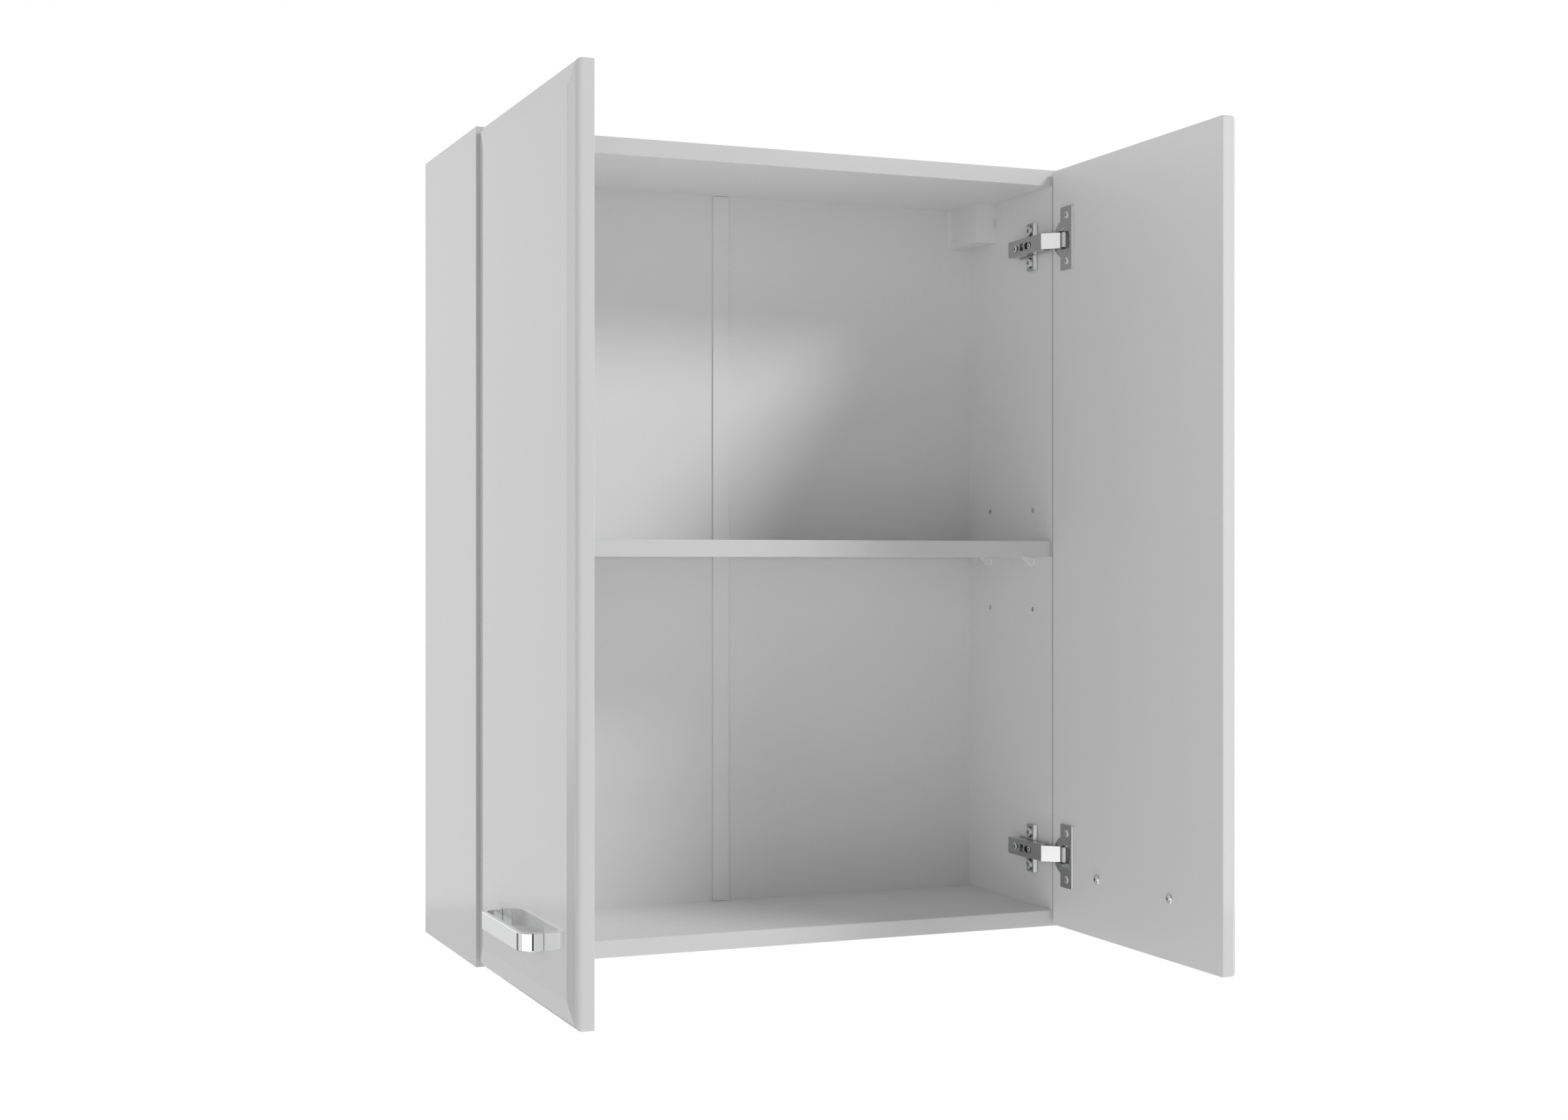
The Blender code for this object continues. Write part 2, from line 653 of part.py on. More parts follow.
def mounting_plate(word, side, level, finish):
    """A cross-shaped plate screwed to the side panel, with a raised rail that holds the arm."""
    axes = case_axes(side, HINGE_HEIGHTS[level])
    base = BOARD + GAP
    rail = box((base, RAIL_FRONT, -RAIL_WIDTH / 2), (BOARD + RAIL_TOP, RAIL_REAR, RAIL_WIDTH / 2))
    plate = piece(f"mounting_plate_{level}_{word}", rail, finish, axes)
    half = PLATE_TALL / 2
    wings = box((base, PLATE_FRONT, -half), (BOARD + PLATE_THICK, PLATE_REAR, half))
    combine(plate, wings, "UNION", axes)
    holes = []
    for end in (-1, 1):
        centre = (BOARD - 0.002, PLATE_SCREW_BACK, end * PLATE_SCREW_SPACING / 2)
        holes.append(turned([(0, PLATE_HOLE_RADIUS), (0.010, PLATE_HOLE_RADIUS)], 0, centre, 12))
    combine(plate, merged(holes), "DIFFERENCE", axes)
    for label, end in (("top", 1), ("bottom", -1)):
        centre = (BOARD + PLATE_THICK, PLATE_SCREW_BACK, end * PLATE_SCREW_SPACING / 2)
        name = f"plate_screw_{level}_{label}_{word}"
        screw(name, axes, 0, centre, 1, PLATE_SCREW, finish)


def hinge_arm(word, side, level, finish):
    """A channel of folded steel over the plate's rail. Its two cheeks carry the link pins."""
    axes = case_axes(side, HINGE_HEIGHTS[level])
    half = ARM_WIDTH / 2
    skirt = BOARD + ARM_SKIRT
    top = BOARD + ARM_TOP
    outline = [
        (skirt, half),
        (top, half),
        (top, -half),
        (skirt, -half),
        (skirt, -half + ARM_WALL),
        (top - ARM_WALL, -half + ARM_WALL),
        (top - ARM_WALL, half - ARM_WALL),
        (skirt, half - ARM_WALL),
    ]
    arm = piece(f"hinge_arm_{level}_{word}", prism(outline, 1, ARM_FRONT, ARM_REAR), finish, axes)
    wide = PLATE_THICK + 0.0008
    clear_low = (BOARD - 0.001, PLATE_FRONT - 0.0006, -half - 0.001)
    clear_high = (BOARD + wide, PLATE_REAR + 0.0006, half + 0.001)
    combine(arm, box(clear_low, clear_high), "DIFFERENCE", axes)
    tail_low = (BOARD - 0.001, ARM_CHEEK_REAR, -half - 0.001)
    tail_high = (top - ARM_WALL - 0.0008, ARM_REAR + 0.001, half + 0.001)
    combine(arm, box(tail_low, tail_high), "DIFFERENCE", axes)
    for inward, back in (OUTER_PIN, INNER_PIN):
        ends = [(-half - 0.0004, LINK_PIN_RADIUS), (half + 0.0004, LINK_PIN_RADIUS)]
        combine(arm, turned(ends, 2, (inward, back, 0), 16), "UNION", axes)


def link_pivot(side, pin):
    inward, back = pin
    return Vector((side * (CASE_WIDTH / 2 - inward), FRONT + back, 0))


def link_eye(link, pin, half, axes):
    """Joins a rolled eye to a link and clears its pin."""
    inward, back = pin
    eye = turned([(-half, LINK_EYE_RADIUS), (half, LINK_EYE_RADIUS)], 2, (inward, back, 0), 20)
    combine(link, eye, "UNION", axes)
    clear = LINK_PIN_RADIUS + GAP
    bore = turned([(-half - 0.002, clear), (half + 0.002, clear)], 2, (inward, back, 0), 16)
    combine(link, bore, "DIFFERENCE", axes)


def outer_link(word, side, level, finish, pivot):
    """The wide link: a flat plate from the arm's end into the cup, on a web that ends in its eye."""
    axes = case_axes(side, HINGE_HEIGHTS[level])
    outline = strip((OUTER_LINK_START, OUTER_LINK_END), -LINK_THICK)
    plate = prism(outline, 2, -OUTER_LINK_HALF, OUTER_LINK_HALF)
    link = piece(f"outer_link_{level}_{word}", plate, finish, axes, pivot)
    inward, back = OUTER_PIN
    half = ARM_WIDTH / 2 - ARM_WALL - GAP
    web = [
        (inward - 0.0012, back - 0.0011),
        (inward + 0.0008, back + 0.0012),
        (inward + 0.0040, back - 0.0036),
        (inward - 0.0010, back - 0.0082),
    ]
    combine(link, prism(web, 2, -half, half), "UNION", axes)
    link_eye(link, OUTER_PIN, half, axes)


def inner_link(word, side, level, finish, pivot):
    """The narrow link, bent round the corner of the side panel under the outer one."""
    axes = case_axes(side, HINGE_HEIGHTS[level])
    outline = strip(INNER_LINK_PATH, -LINK_THICK)
    solid = prism(outline, 2, -INNER_LINK_HALF, INNER_LINK_HALF)
    link = piece(f"inner_link_{level}_{word}", solid, finish, axes, pivot)
    link_eye(link, INNER_PIN, INNER_LINK_HALF, axes)


def make_door(word, side, materials):
    place = Vector((side * (CASE_WIDTH / 2 - PIVOT_INWARD), FRONT - PIVOT_FORWARD, 0))
    pivot = pivot_empty(f"door_{word}_pivot", place)
    door_panel(word, side, materials["door"], pivot)
    handle(word, side, materials["chrome"], pivot)
    handle_screws(word, side, materials["zinc"], pivot)
    outer = pivot_empty(f"outer_links_{word}_pivot", link_pivot(side, OUTER_PIN))
    inner = pivot_empty(f"inner_links_{word}_pivot", link_pivot(side, INNER_PIN))
    for level in HINGE_HEIGHTS:
        hinge_cup(word, side, level, materials["nickel"], pivot)
        mounting_plate(word, side, level, materials["nickel"])
        hinge_arm(word, side, level, materials["nickel"])
        outer_link(word, side, level, materials["nickel"], outer)
        inner_link(word, side, level, materials["nickel"], inner)


def clear_scene():
    for old in list(bpy.data.objects):
        bpy.data.objects.remove(old, do_unlink=True)


def main():
    clear_scene()
    materials = make_materials()
    make_case(materials)
    for word, side in SIDES.items():
        make_door(word, side, materials)


main()
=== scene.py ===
"""The looks of a hanging wall cabinet with two open doors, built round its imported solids.

Everything is in metres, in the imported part's frame: X along the front, Y into the wall, Z up.
Each piece is modelled in local axes that lie on the case or on a door, and then put in place.
"""

import math

import bmesh
import bpy
from mathutils import Matrix, Vector


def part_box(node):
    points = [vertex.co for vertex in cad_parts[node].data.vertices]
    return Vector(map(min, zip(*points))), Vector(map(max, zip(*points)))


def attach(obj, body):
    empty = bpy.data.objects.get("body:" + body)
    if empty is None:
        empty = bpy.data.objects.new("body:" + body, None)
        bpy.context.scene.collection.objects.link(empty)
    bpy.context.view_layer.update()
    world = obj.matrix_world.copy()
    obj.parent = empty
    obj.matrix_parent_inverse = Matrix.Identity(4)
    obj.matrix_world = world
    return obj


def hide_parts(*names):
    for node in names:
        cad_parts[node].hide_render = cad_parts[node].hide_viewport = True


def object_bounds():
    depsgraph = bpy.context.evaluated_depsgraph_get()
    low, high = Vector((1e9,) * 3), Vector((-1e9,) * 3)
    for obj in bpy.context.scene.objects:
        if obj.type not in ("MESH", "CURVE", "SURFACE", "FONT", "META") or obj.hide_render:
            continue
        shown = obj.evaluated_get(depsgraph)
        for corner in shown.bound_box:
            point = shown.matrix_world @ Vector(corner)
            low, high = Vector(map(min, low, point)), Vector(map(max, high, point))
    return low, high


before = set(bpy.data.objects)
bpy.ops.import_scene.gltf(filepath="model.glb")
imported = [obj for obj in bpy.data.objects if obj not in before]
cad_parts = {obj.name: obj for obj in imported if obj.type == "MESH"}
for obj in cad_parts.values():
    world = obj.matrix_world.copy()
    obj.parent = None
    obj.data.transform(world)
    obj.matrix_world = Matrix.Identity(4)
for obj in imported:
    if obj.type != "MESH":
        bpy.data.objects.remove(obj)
CAD_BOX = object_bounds()

SIDES = {"left": -1, "right": 1}
LEVELS = ("upper", "lower")

PAST = 0.01  # how far a cutter reaches past what it cuts
JUST_PAST = 0.002  # the same, for a small cutter
HAIR = 0.0002  # small overlaps and clearances
SHARP = math.radians(40)  # edges sharper than this are rounded

# Boards: the rounding of each one's edges, and how far its ends grow to close the joint
ARRIS = 0.0005
BOARD_ENDS = {"top_panel": (ARRIS, 0.0009), "bottom_panel": (0.0009, 0.0013), "shelf": (ARRIS, 0.0004)}
SHEET_GROWTH = 0.0003
STRIP_GROWTH = (0.0010, 0.0008, 0)

# Doors
DOOR_EDGE_RADIUS = 0.0053
DOOR_INNER_RADIUS = 0.0004
DOOR_CORNER_RADIUS = 0.0016
DOOR_BEVEL_WIDTH = 0.0145
DOOR_BEVEL_RISE = 0.00178
DOOR_CREASE = 5.5  # degrees, so that the bevelled frame's own edges stay crisp
CUP_HOLE_RADIUS = 0.0172

# Handles
HANDLE_BAR = 0.0043
HANDLE_CORNER = 0.012
HANDLE_EDGE = 0.0006

# Hinge cup, in a door's axes from the middle of the hinge
CUP_MIDDLE = 0.0225
CUP_RADIUS = 0.0175
CUP_DEPTH = 0.0130
CUP_WALL = 0.0005
MOUTH_ARC = (154, 206)  # degrees, the part of the rim beside the links
CUP_FILLET = 0.0022
CUP_RIM = 0.0005
FLANGE_NEAR = 0.0175
FLANGE_FAR = 0.0398
FLANGE_SLANT = 0.0009
FLANGE_THICK = 0.0016
WINDOW_NEAR = 0.0176
WINDOW_FAR = 0.0348
WINDOW_HALF = 0.0109
WINDOW_LEAD = 0.0210
NOTCH_HALF = 0.0083
NOTCH_DEPTH = 0.0065
RIDGE_AWAY = 0.0016
RIDGE_WIDTH = 0.0008
RIDGE_TALL = 0.0004
LEAD_DEPTH = 0.0030
LEAD_HALF = 0.0078
LEAD_THICK = 0.0006

# Hinge arm and mounting plate, in the case's axes from the middle of the hinge
SHEET = 0.0012
ARM_HALF = 0.00825
ARM_FRONT = 0.0012
PIN_PLACE = (0.0246, 0.0016)
SECOND_PIN_PLACE = (0.0208, 0.0042)
EAR_RADIUS = 0.0027
CHEEK_FOOT = 0.0016
CHEEK_TOP = 0.0113
CHEEK_FRONT = 0.0045
CHEEK_REAR = 0.0650
WING_ROOM = 0.0006
ARM_SCREWS = {"rear": (0.0550, 0.0012), "front": (0.0280, 0.0016)}  # how far back, how far sunk
REAR_SLOT = (0.0475, 0.0600, 0.0044)
MIDDLE_SLOT = (0.0382, 0.0444, 0.0036)
FRONT_SLOT = (0.0215, 0.0352, 0.0033)
RIVET_BACKS = (0.0130, 0.0370)
RIVET_INWARD = 0.0080
WING_FRONT = 0.0296
WING_REAR = 0.0444
WING_TOP = 0.0042
RAIL_HALF = 0.0070
RAIL_FRONT = 0.0120
FOOT_HALF = 0.0096
FOOT_TALL = 0.0022
FOOT_REAR = 0.0640
PLATE_SCREW_BACK = 0.0370
PLATE_SCREW_AWAY = 0.016  # half the spacing of 32 mm
PLATE_SLOT_HALF = (0.0033, 0.0056)
PLATE_SLOT_DEPTH = 0.0022

# Outer link, and the sleeve on the cup's own pin
LINK_START = (0.0293, -0.0029)
LINK_END = (0.0155, -0.0161)
LINK_THICK = 0.0014
LINK_WEB = 0.0011
LINK_CURL = ((0.0296, -0.0018), (0.0293, -0.0009), (0.0283, -0.0008))
BARREL_PLACE = (0.0124, -0.0196)
BARREL_RADIUS = 0.0036
BARREL_HALF = 0.0075

# Screws: head radius, rim height, dome height, half width of the recess, shank radius, length
SCREWS = {
    "handle": (0.0049, 0.0004, 0.0024, 0.0017, 0.0013, 0.012),
    "cup": (0.0040, 0.0002, 0.0010, 0.0021, 0.0016, 0.008),
    "plate": (0.0047, 0.0022, 0.0008, 0.0026, 0.0029, 0.010),
    "arm_rear": (0.0041, 0.0012, 0.0009, 0.0023, 0.0025, 0.003),
    "arm_front": (0.0031, 0.0008, 0.0004, 0.0020, 0.0020, 0.003),
}

# Studio
CAMERA_PLACE = (-0.77898, -2.1016, -0.37876)
CAMERA_TURN = -22.19
LENS = 50.0
SENSOR = 36
FLOOR_RADIUS = 4.0
FLOOR_DROP = 1.4
HORIZON = -0.155
WORLD_UNDER = 0.72
WORLD_BEHIND = 1.02
WORLD_ABOVE = 0.32
WORLD_FRONT = 0.15
WORLD_LOW = 0.70
WORLD_RIGHT = 0.0
# Upright strips of the surround that the metal and the gloss mirror:
# azimuths in degrees, heights, change of level
STRIPS = (
    (-66, -50, -0.16, 0.5, 1.4),
    (-175, -97, -0.35, 0.25, 0.70),
    (-83, -78, -0.35, -0.10, 0.80),
    (-95, -84, -0.35, -0.155, -0.50),
    (112, 143, -0.35, -0.12, -0.55),
)
AIM = (0, -0.1, -0.3)
KEY_FROM = (0.80, -1.0, 0.94)
KEY_AWAY = 6.0
KEY_SIZE = 1.5
KEY_ENERGY = 150
LOW_PLACE = (0.3, -1.3)
LOW_RISE = 0.04
LOW_SIZE = 2.8
LOW_ENERGY = 14

# Hanger covers and shelf pins
COVER_WALL = 0.0015
COVER_FLANGE = 0.0050
COVER_FLANGE_THICK = 0.0022
COVER_FLANGE_ROOT = 0.0020
SLOT_WIDTH = 0.0027
SLOT_HALF = 0.005
SLOT_LEVEL = 0.52  # of the cover's height
JOINT_OVERLAP = 0.0010
PIN_PLATE_HALF = 0.0046
PIN_PLATE_THICK = 0.0017
PIN_WEB_HALF = 0.0004
PIN_LIP_HALF = 0.0010
PIN_LIP_TALL = 0.0011
PIN_SHANK = 0.0023


# ---------------------------------------------------------------- local axes


def case_axes(side, height=0.0):
    """Axes (inward from the outer side, back from the front, up from the bottom) on one side of the case."""
    low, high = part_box("side_left" if side < 0 else "side_right")
    place = Vector((low.x if side < 0 else high.x, low.y, low.z + height))
    return Matrix.Translation(place) @ Matrix(((-side, 0, 0), (0, 1, 0), (0, 0, 1))).to_4x4()


def door_axes(side, height=0.0):
    """An open door's axes: along it from the hinge edge, out through its front, and up from its bottom."""
    low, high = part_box("door_left" if side < 0 else "door_right")
    place = Vector((high.x if side < 0 else low.x, high.y, low.z + height))
    return Matrix.Translation(place) @ Matrix(((0, side, 0), (-1, 0, 0), (0, 0, 1))).to_4x4()


def local_box(node, axes):
    """A CAD node's box in local axes."""
    ends = [axes.inverted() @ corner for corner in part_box(node)]
    low = Vector([min(pair) for pair in zip(*ends)])
    high = Vector([max(pair) for pair in zip(*ends)])
    return low, high


def hinge_height(level, word, base):
    """How far the middle of a hinge is above the bottom of this base node."""
    low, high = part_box(f"hinge_cup_{level}_{word}")
    return (low.z + high.z) / 2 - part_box(base)[0].z


# ---------------------------------------------------------------- shapes, in local axes


def box(low, high):
    """A block between two corners."""
    shape = bmesh.new()
    bmesh.ops.create_cube(shape, size=1)
    size = [b - a for a, b in zip(low, high)]
    middle = [(a + b) / 2 for a, b in zip(low, high)]
    bmesh.ops.scale(shape, vec=size, verts=shape.verts)
    bmesh.ops.translate(shape, vec=middle, verts=shape.verts)
    return shape


def bridge(shape, rings):
    """Joins rings of the same number of points, one after the other, and closes both ends."""
    for first, second in zip(rings, rings[1:]):
        for i in range(len(first)):
            j = (i + 1) % len(first)
            shape.faces.new((first[i], first[j], second[j], second[i]))
    shape.faces.new(rings[0])
    shape.faces.new(rings[-1])


def prism(outline, axis, start, end):
    """A closed outline, given in the two other axes in order, extruded along one axis."""
    shape = bmesh.new()
    others = [i for i in range(3) if i != axis]
    rings = []
    for along in (start, end):
        ring = []
        for point in outline:
            place = [0.0, 0.0, 0.0]
            place[axis] = along
            place[others[0]], place[others[1]] = point
            ring.append(shape.verts.new(place))
        rings.append(ring)
    bridge(shape, rings)
    return shape


def turned(profile, axis, centre, steps=32):
    """A profile of (distance along the axis, radius) turned round the axis, closed at both ends."""
    shape = bmesh.new()
    others = [i for i in range(3) if i != axis]
    rings = []
    for along, radius in profile:
        ring = []
        for step in range(steps):
            angle = 2 * math.pi * (step + 0.5) / steps
            place = list(centre)
            place[axis] += along
            place[others[0]] += radius * math.cos(angle)
            place[others[1]] += radius * math.sin(angle)
            ring.append(shape.verts.new(place))
        rings.append(ring)
    bridge(shape, rings)
    return shape


def arc(centre, radius, start, end, steps):
    """Points round a centre, from one angle in degrees to another."""
    points = []
    for step in range(steps + 1):
        angle = math.radians(start + (end - start) * step / steps)
        points.append((centre[0] + radius * math.cos(angle), centre[1] + radius * math.sin(angle)))
    return points


def filleted(corners, radius, steps=4):
    """A closed outline with each corner rounded."""
    points = []
    for i, corner in enumerate(corners):
        here = Vector(corner)
        to_last = (Vector(corners[i - 1]) - here).normalized()
        to_next = (Vector(corners[(i + 1) % len(corners)]) - here).normalized()
        half = to_last.angle(to_next) / 2
        start = here + to_last * radius / math.tan(half)
        end = here + to_next * radius / math.tan(half)
        middle = here + (to_last + to_next).normalized() * radius / math.sin(half)
        for step in range(steps + 1):
            blend = start.lerp(end, step / steps) - middle
            points.append(tuple(middle + blend.normalized() * radius))
    return points


def rectangle(low, high, radius, steps=4):
    """A rectangle's outline with its corners rounded."""
    return filleted([low, (high[0], low[1]), high, (low[0], high[1])], radius, steps)


def oblong(low, high, half, steps=8):
    """A slot with round ends, from low to high along the first axis and of this half width."""
    points = arc((high - half, 0), half, -90, 90, steps)
    return points + arc((low + half, 0), half, 90, 270, steps)


# ---------------------------------------------------------------- solids


def to_mesh(shape):
    """A mesh from a bmesh, with its faces turned outwards. The bmesh is freed."""
    bmesh.ops.recalc_face_normals(shape, faces=shape.faces)
    mesh = bpy.data.meshes.new("working")
    shape.to_mesh(mesh)
    shape.free()
    return mesh


def evaluated(obj):
    """The object's mesh with its modifiers applied. The object itself is removed."""
    graph = bpy.context.evaluated_depsgraph_get()
    mesh = bpy.data.meshes.new_from_object(obj.evaluated_get(graph))
    bpy.data.objects.remove(obj)
    return mesh


def working_object(mesh):
    """An object in the scene for this mesh."""
    made = bpy.data.objects.new("working", mesh)
    bpy.context.scene.collection.objects.link(made)
    return made


def combined(mesh, shapes, operation):
    """A mesh with shapes cut from it or joined to it, one after the other."""
    body = working_object(mesh)
    helpers = []
    for shape in shapes:
        helper = working_object(to_mesh(shape))
        helpers.append(helper)
        modifier = body.modifiers.new("combine", "BOOLEAN")
        modifier.operation = operation
        modifier.solver = "EXACT"
        modifier.object = helper
    result = evaluated(body)
    for helper in helpers:
        bpy.data.objects.remove(helper)
    return result


def bevelled(mesh, width, segments):
    """The mesh with its sharp edges rounded."""
    body = working_object(mesh)
    modifier = body.modifiers.new("bevel", "BEVEL")
    modifier.width = width
    modifier.segments = segments
    modifier.limit_method = "ANGLE"
    modifier.angle_limit = SHARP
    modifier.miter_outer = "MITER_ARC"
    return evaluated(body)


def solid(shape, joins=(), cuts=(), bevel=0.0, segments=2, late_cuts=()):
    """A mesh from a shape, with others joined to it and cut from it.

    Late cuts come after the edges are rounded."""
    mesh = to_mesh(shape)
    if joins:
        mesh = combined(mesh, joins, "UNION")
    if cuts:
        mesh = combined(mesh, cuts, "DIFFERENCE")
    if bevel:
        mesh = bevelled(mesh, bevel, segments)
    if late_cuts:
        mesh = combined(mesh, late_cuts, "DIFFERENCE")
    return mesh


def cad_copy(node, bevel, segments=3, boxed=False, grow=(0, 0, 0)):
    """A CAD node's own mesh with its flat faces made whole and its edges rounded.

    If boxed, only the edges that lie along the edges of its box are rounded. Grow is how far
    both ends of the box move outwards on each axis, to close the joints with its neighbours."""
    shape = bmesh.new()
    shape.from_mesh(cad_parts[node].data)
    bmesh.ops.remove_doubles(shape, verts=shape.verts, dist=1e-6)
    flat = math.radians(0.5)
    bmesh.ops.dissolve_limit(shape, angle_limit=flat, verts=shape.verts, edges=shape.edges)
    low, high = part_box(node)
    chosen = []
    for edge in shape.edges:
        if len(edge.link_faces) != 2 or edge.calc_face_angle(0) < SHARP:
            continue
        sides = 0
        for axis in range(3):
            for limit in (low[axis], high[axis]):
                sides += all(abs(vert.co[axis] - limit) < 1e-5 for vert in edge.verts)
        if sides >= 2 or not boxed:
            chosen.append(edge)
    bmesh.ops.bevel(shape, geom=chosen, offset=bevel, segments=segments, profile=0.5, affect="EDGES")
    for vert in shape.verts:
        for axis in range(3):
            if abs(vert.co[axis] - low[axis]) < bevel * 1.1:
                vert.co[axis] -= grow[axis]
            elif abs(vert.co[axis] - high[axis]) < bevel * 1.1:
                vert.co[axis] += grow[axis]
    return to_mesh(shape)


def joined(meshes):
    """Several meshes as one, each keeping its own surface."""
    whole = bmesh.new()
    for mesh in meshes:
        whole.from_mesh(mesh)
    result = bpy.data.meshes.new("working")
    whole.to_mesh(result)
    whole.free()
    return result


def placed(mesh, axes):
    """A copy of a mesh carried from local axes into the frame."""
    copy = mesh.copy()
    copy.transform(axes)
    if axes.determinant() < 0:
        copy.flip_normals()
    return copy


def piece(name, mesh, finishes, body, nodes=(), choose=None, smooth=35):
    """Makes a mesh into a named piece that rides on a body and stands for these CAD nodes.

    choose(normal, middle) gives the number of a face's finish."""
    mesh.materials.clear()
    for finish in finishes:
        mesh.materials.append(finish)
    for polygon in mesh.polygons:
        polygon.material_index = choose(polygon.normal, polygon.center) if choose else 0
    mesh.shade_smooth()
    mesh.set_sharp_from_angle(angle=math.radians(smooth))
    weighted = working_object(mesh)
    modifier = weighted.modifiers.new("normals", "WEIGHTED_NORMAL")
    modifier.keep_sharp = True
    made = working_object(evaluated(weighted))
    made.name = name
    made.data.name = name
    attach(made, body)
    if nodes:
        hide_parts(*nodes)
    return made


# ---------------------------------------------------------------- materials


class Nodes:
    """Short calls for building a material's or the world's node tree."""

    def __init__(self, tree):
        self.tree = tree

    def add(self, kind, **settings):
        """A new node with these settings."""
        node = self.tree.nodes.new(kind)
        for name, value in settings.items():
            setattr(node, name, value)
        return node

    def link(self, source, target):
        self.tree.links.new(source, target)

    def math(self, operation, first, second):
        """The result of one operation on two values, each a number or another node's output."""
        node = self.add("ShaderNodeMath", operation=operation)
        for socket, value in zip(node.inputs, (first, second)):
            if isinstance(value, (int, float)):
                socket.default_value = value
            else:
                self.link(value, socket)
        return node.outputs[0]

    def range(self, value, start, end, low, high, smooth=False):
        """A value carried from start and end to low and high, and held beyond them."""
        node = self.add("ShaderNodeMapRange", interpolation_type="SMOOTHSTEP" if smooth else "LINEAR")
        self.link(value, node.inputs["Value"])
        for name, number in (("From Min", start), ("From Max", end), ("To Min", low), ("To Max", high)):
            node.inputs[name].default_value = number
        return node.outputs["Result"]

    def noise(self, place, scale, detail=2.0, rough=0.5):
        """Noise with this many cells to a metre."""
        node = self.add("ShaderNodeTexNoise")
        self.link(place, node.inputs["Vector"])
        node.inputs["Scale"].default_value = scale
        node.inputs["Detail"].default_value = detail
        node.inputs["Roughness"].default_value = rough
        return node.outputs["Fac"]

    def stretched(self, place, stretch):
        """A place scaled along each axis."""
        node = self.add("ShaderNodeMapping")
        self.link(place, node.inputs["Vector"])
        node.inputs["Scale"].default_value = stretch
        return node.outputs["Vector"]


def surface(name, colour, roughness, tint, spread, grain=(), metallic=0.0, stretch=None):
    """A Principled material with cloudy colour and roughness, and bump from layers of noise.

    tint is how far the colour wanders, spread how far the roughness does, and grain holds
    (cells per metre, depth in metres, detail) for each layer of bump. stretch scales the
    noise along each axis."""
    made = bpy.data.materials.new(name)
    made.use_nodes = True
    tree = made.node_tree
    nodes = Nodes(tree)
    shader = tree.nodes["Principled BSDF"]
    shader.inputs["Metallic"].default_value = metallic
    place = nodes.add("ShaderNodeTexCoord").outputs["Object"]
    if stretch:
        place = nodes.stretched(place, stretch)
    cloud = nodes.noise(place, 7.0, 3.0)
    mix = nodes.add("ShaderNodeMix", data_type="RGBA")
    nodes.link(nodes.range(cloud, 0.3, 0.7, 0.0, 1.0), mix.inputs["Factor"])
    for socket, share in ((mix.inputs["A"], 1 - tint), (mix.inputs["B"], 1 + tint)):
        socket.default_value = (*[min(1.0, part * share) for part in colour], 1)
    nodes.link(mix.outputs["Result"], shader.inputs["Base Color"])
    patches = nodes.noise(place, 45.0, 4.0, 0.6)
    rough = nodes.range(patches, 0.3, 0.7, max(0.0, roughness - spread), roughness + spread)
    nodes.link(rough, shader.inputs["Roughness"])
    last = None
    for cells, depth, detail in grain:
        bump = nodes.add("ShaderNodeBump")
        bump.inputs["Strength"].default_value = 1.0
        bump.inputs["Distance"].default_value = depth
        nodes.link(nodes.noise(place, cells, detail), bump.inputs["Height"])
        if last is not None:
            nodes.link(last, bump.inputs["Normal"])
        last = bump.outputs["Normal"]
    if last is not None:
        nodes.link(last, shader.inputs["Normal"])
    return made


def make_materials():
    """Every finish by its short name."""
    pearl = [(900.0, 0.00001, 2.0)]
    return {
        # Melamine-faced board and its edge band: satin, with the fine pearl grain of a pressed surface
        "board": surface("white_melamine", (0.812, 0.813, 0.813), 0.40, 0.006, 0.03, pearl),
        "edge": surface("white_edge_band", (0.675, 0.676, 0.676), 0.35, 0.006, 0.03, pearl),
        # Lacquered doors and outer sides: high gloss, with the long faint waves of a sprayed board
        "gloss": surface(
            "white_gloss_lacquer", (0.728, 0.729, 0.730), 0.055, 0.004, 0.015, [(35.0, 0.00001, 1.0)]
        ),
        # The back's two faces
        "back": surface(
            "white_fibreboard", (0.790, 0.791, 0.791), 0.55, 0.008, 0.05, [(700.0, 0.00002, 3.0)]
        ),
        "raw": surface("raw_fibreboard", (0.22, 0.13, 0.07), 0.85, 0.08, 0.08, [(420.0, 0.00015, 5.0)]),
        # Metals
        "chrome": surface("polished_chrome", (0.93, 0.935, 0.94), 0.035, 0.004, 0.015, metallic=1.0),
        "nickel": surface(
            "nickel_plated_steel",
            (0.52, 0.522, 0.522),
            0.20,
            0.02,
            0.05,
            [(1500.0, 0.000004, 2.0)],
            stretch=(1.0, 1.0, 0.25),
            metallic=1.0,
        ),
        "bright": surface("bright_nickel", (0.84, 0.842, 0.845), 0.12, 0.01, 0.04, metallic=1.0),
        "satin": surface("satin_nickel", (0.74, 0.742, 0.744), 0.45, 0.01, 0.04, metallic=1.0),
        "screw": surface(
            "bright_zinc", (0.82, 0.825, 0.83), 0.16, 0.03, 0.06, [(900.0, 0.00001, 3.0)], metallic=1.0
        ),
        "zinc": surface(
            "zinc_plated_steel", (0.58, 0.59, 0.60), 0.32, 0.06, 0.08, [(500.0, 0.00002, 4.0)], metallic=1.0
        ),
        # Plastics
        "plastic": surface(
            "white_plastic", (0.805, 0.806, 0.807), 0.33, 0.006, 0.05, [(600.0, 0.000015, 2.0)]
        ),
        "milky": surface("milky_plastic", (0.86, 0.861, 0.861), 0.22, 0.006, 0.05),
    }


# ---------------------------------------------------------------- case


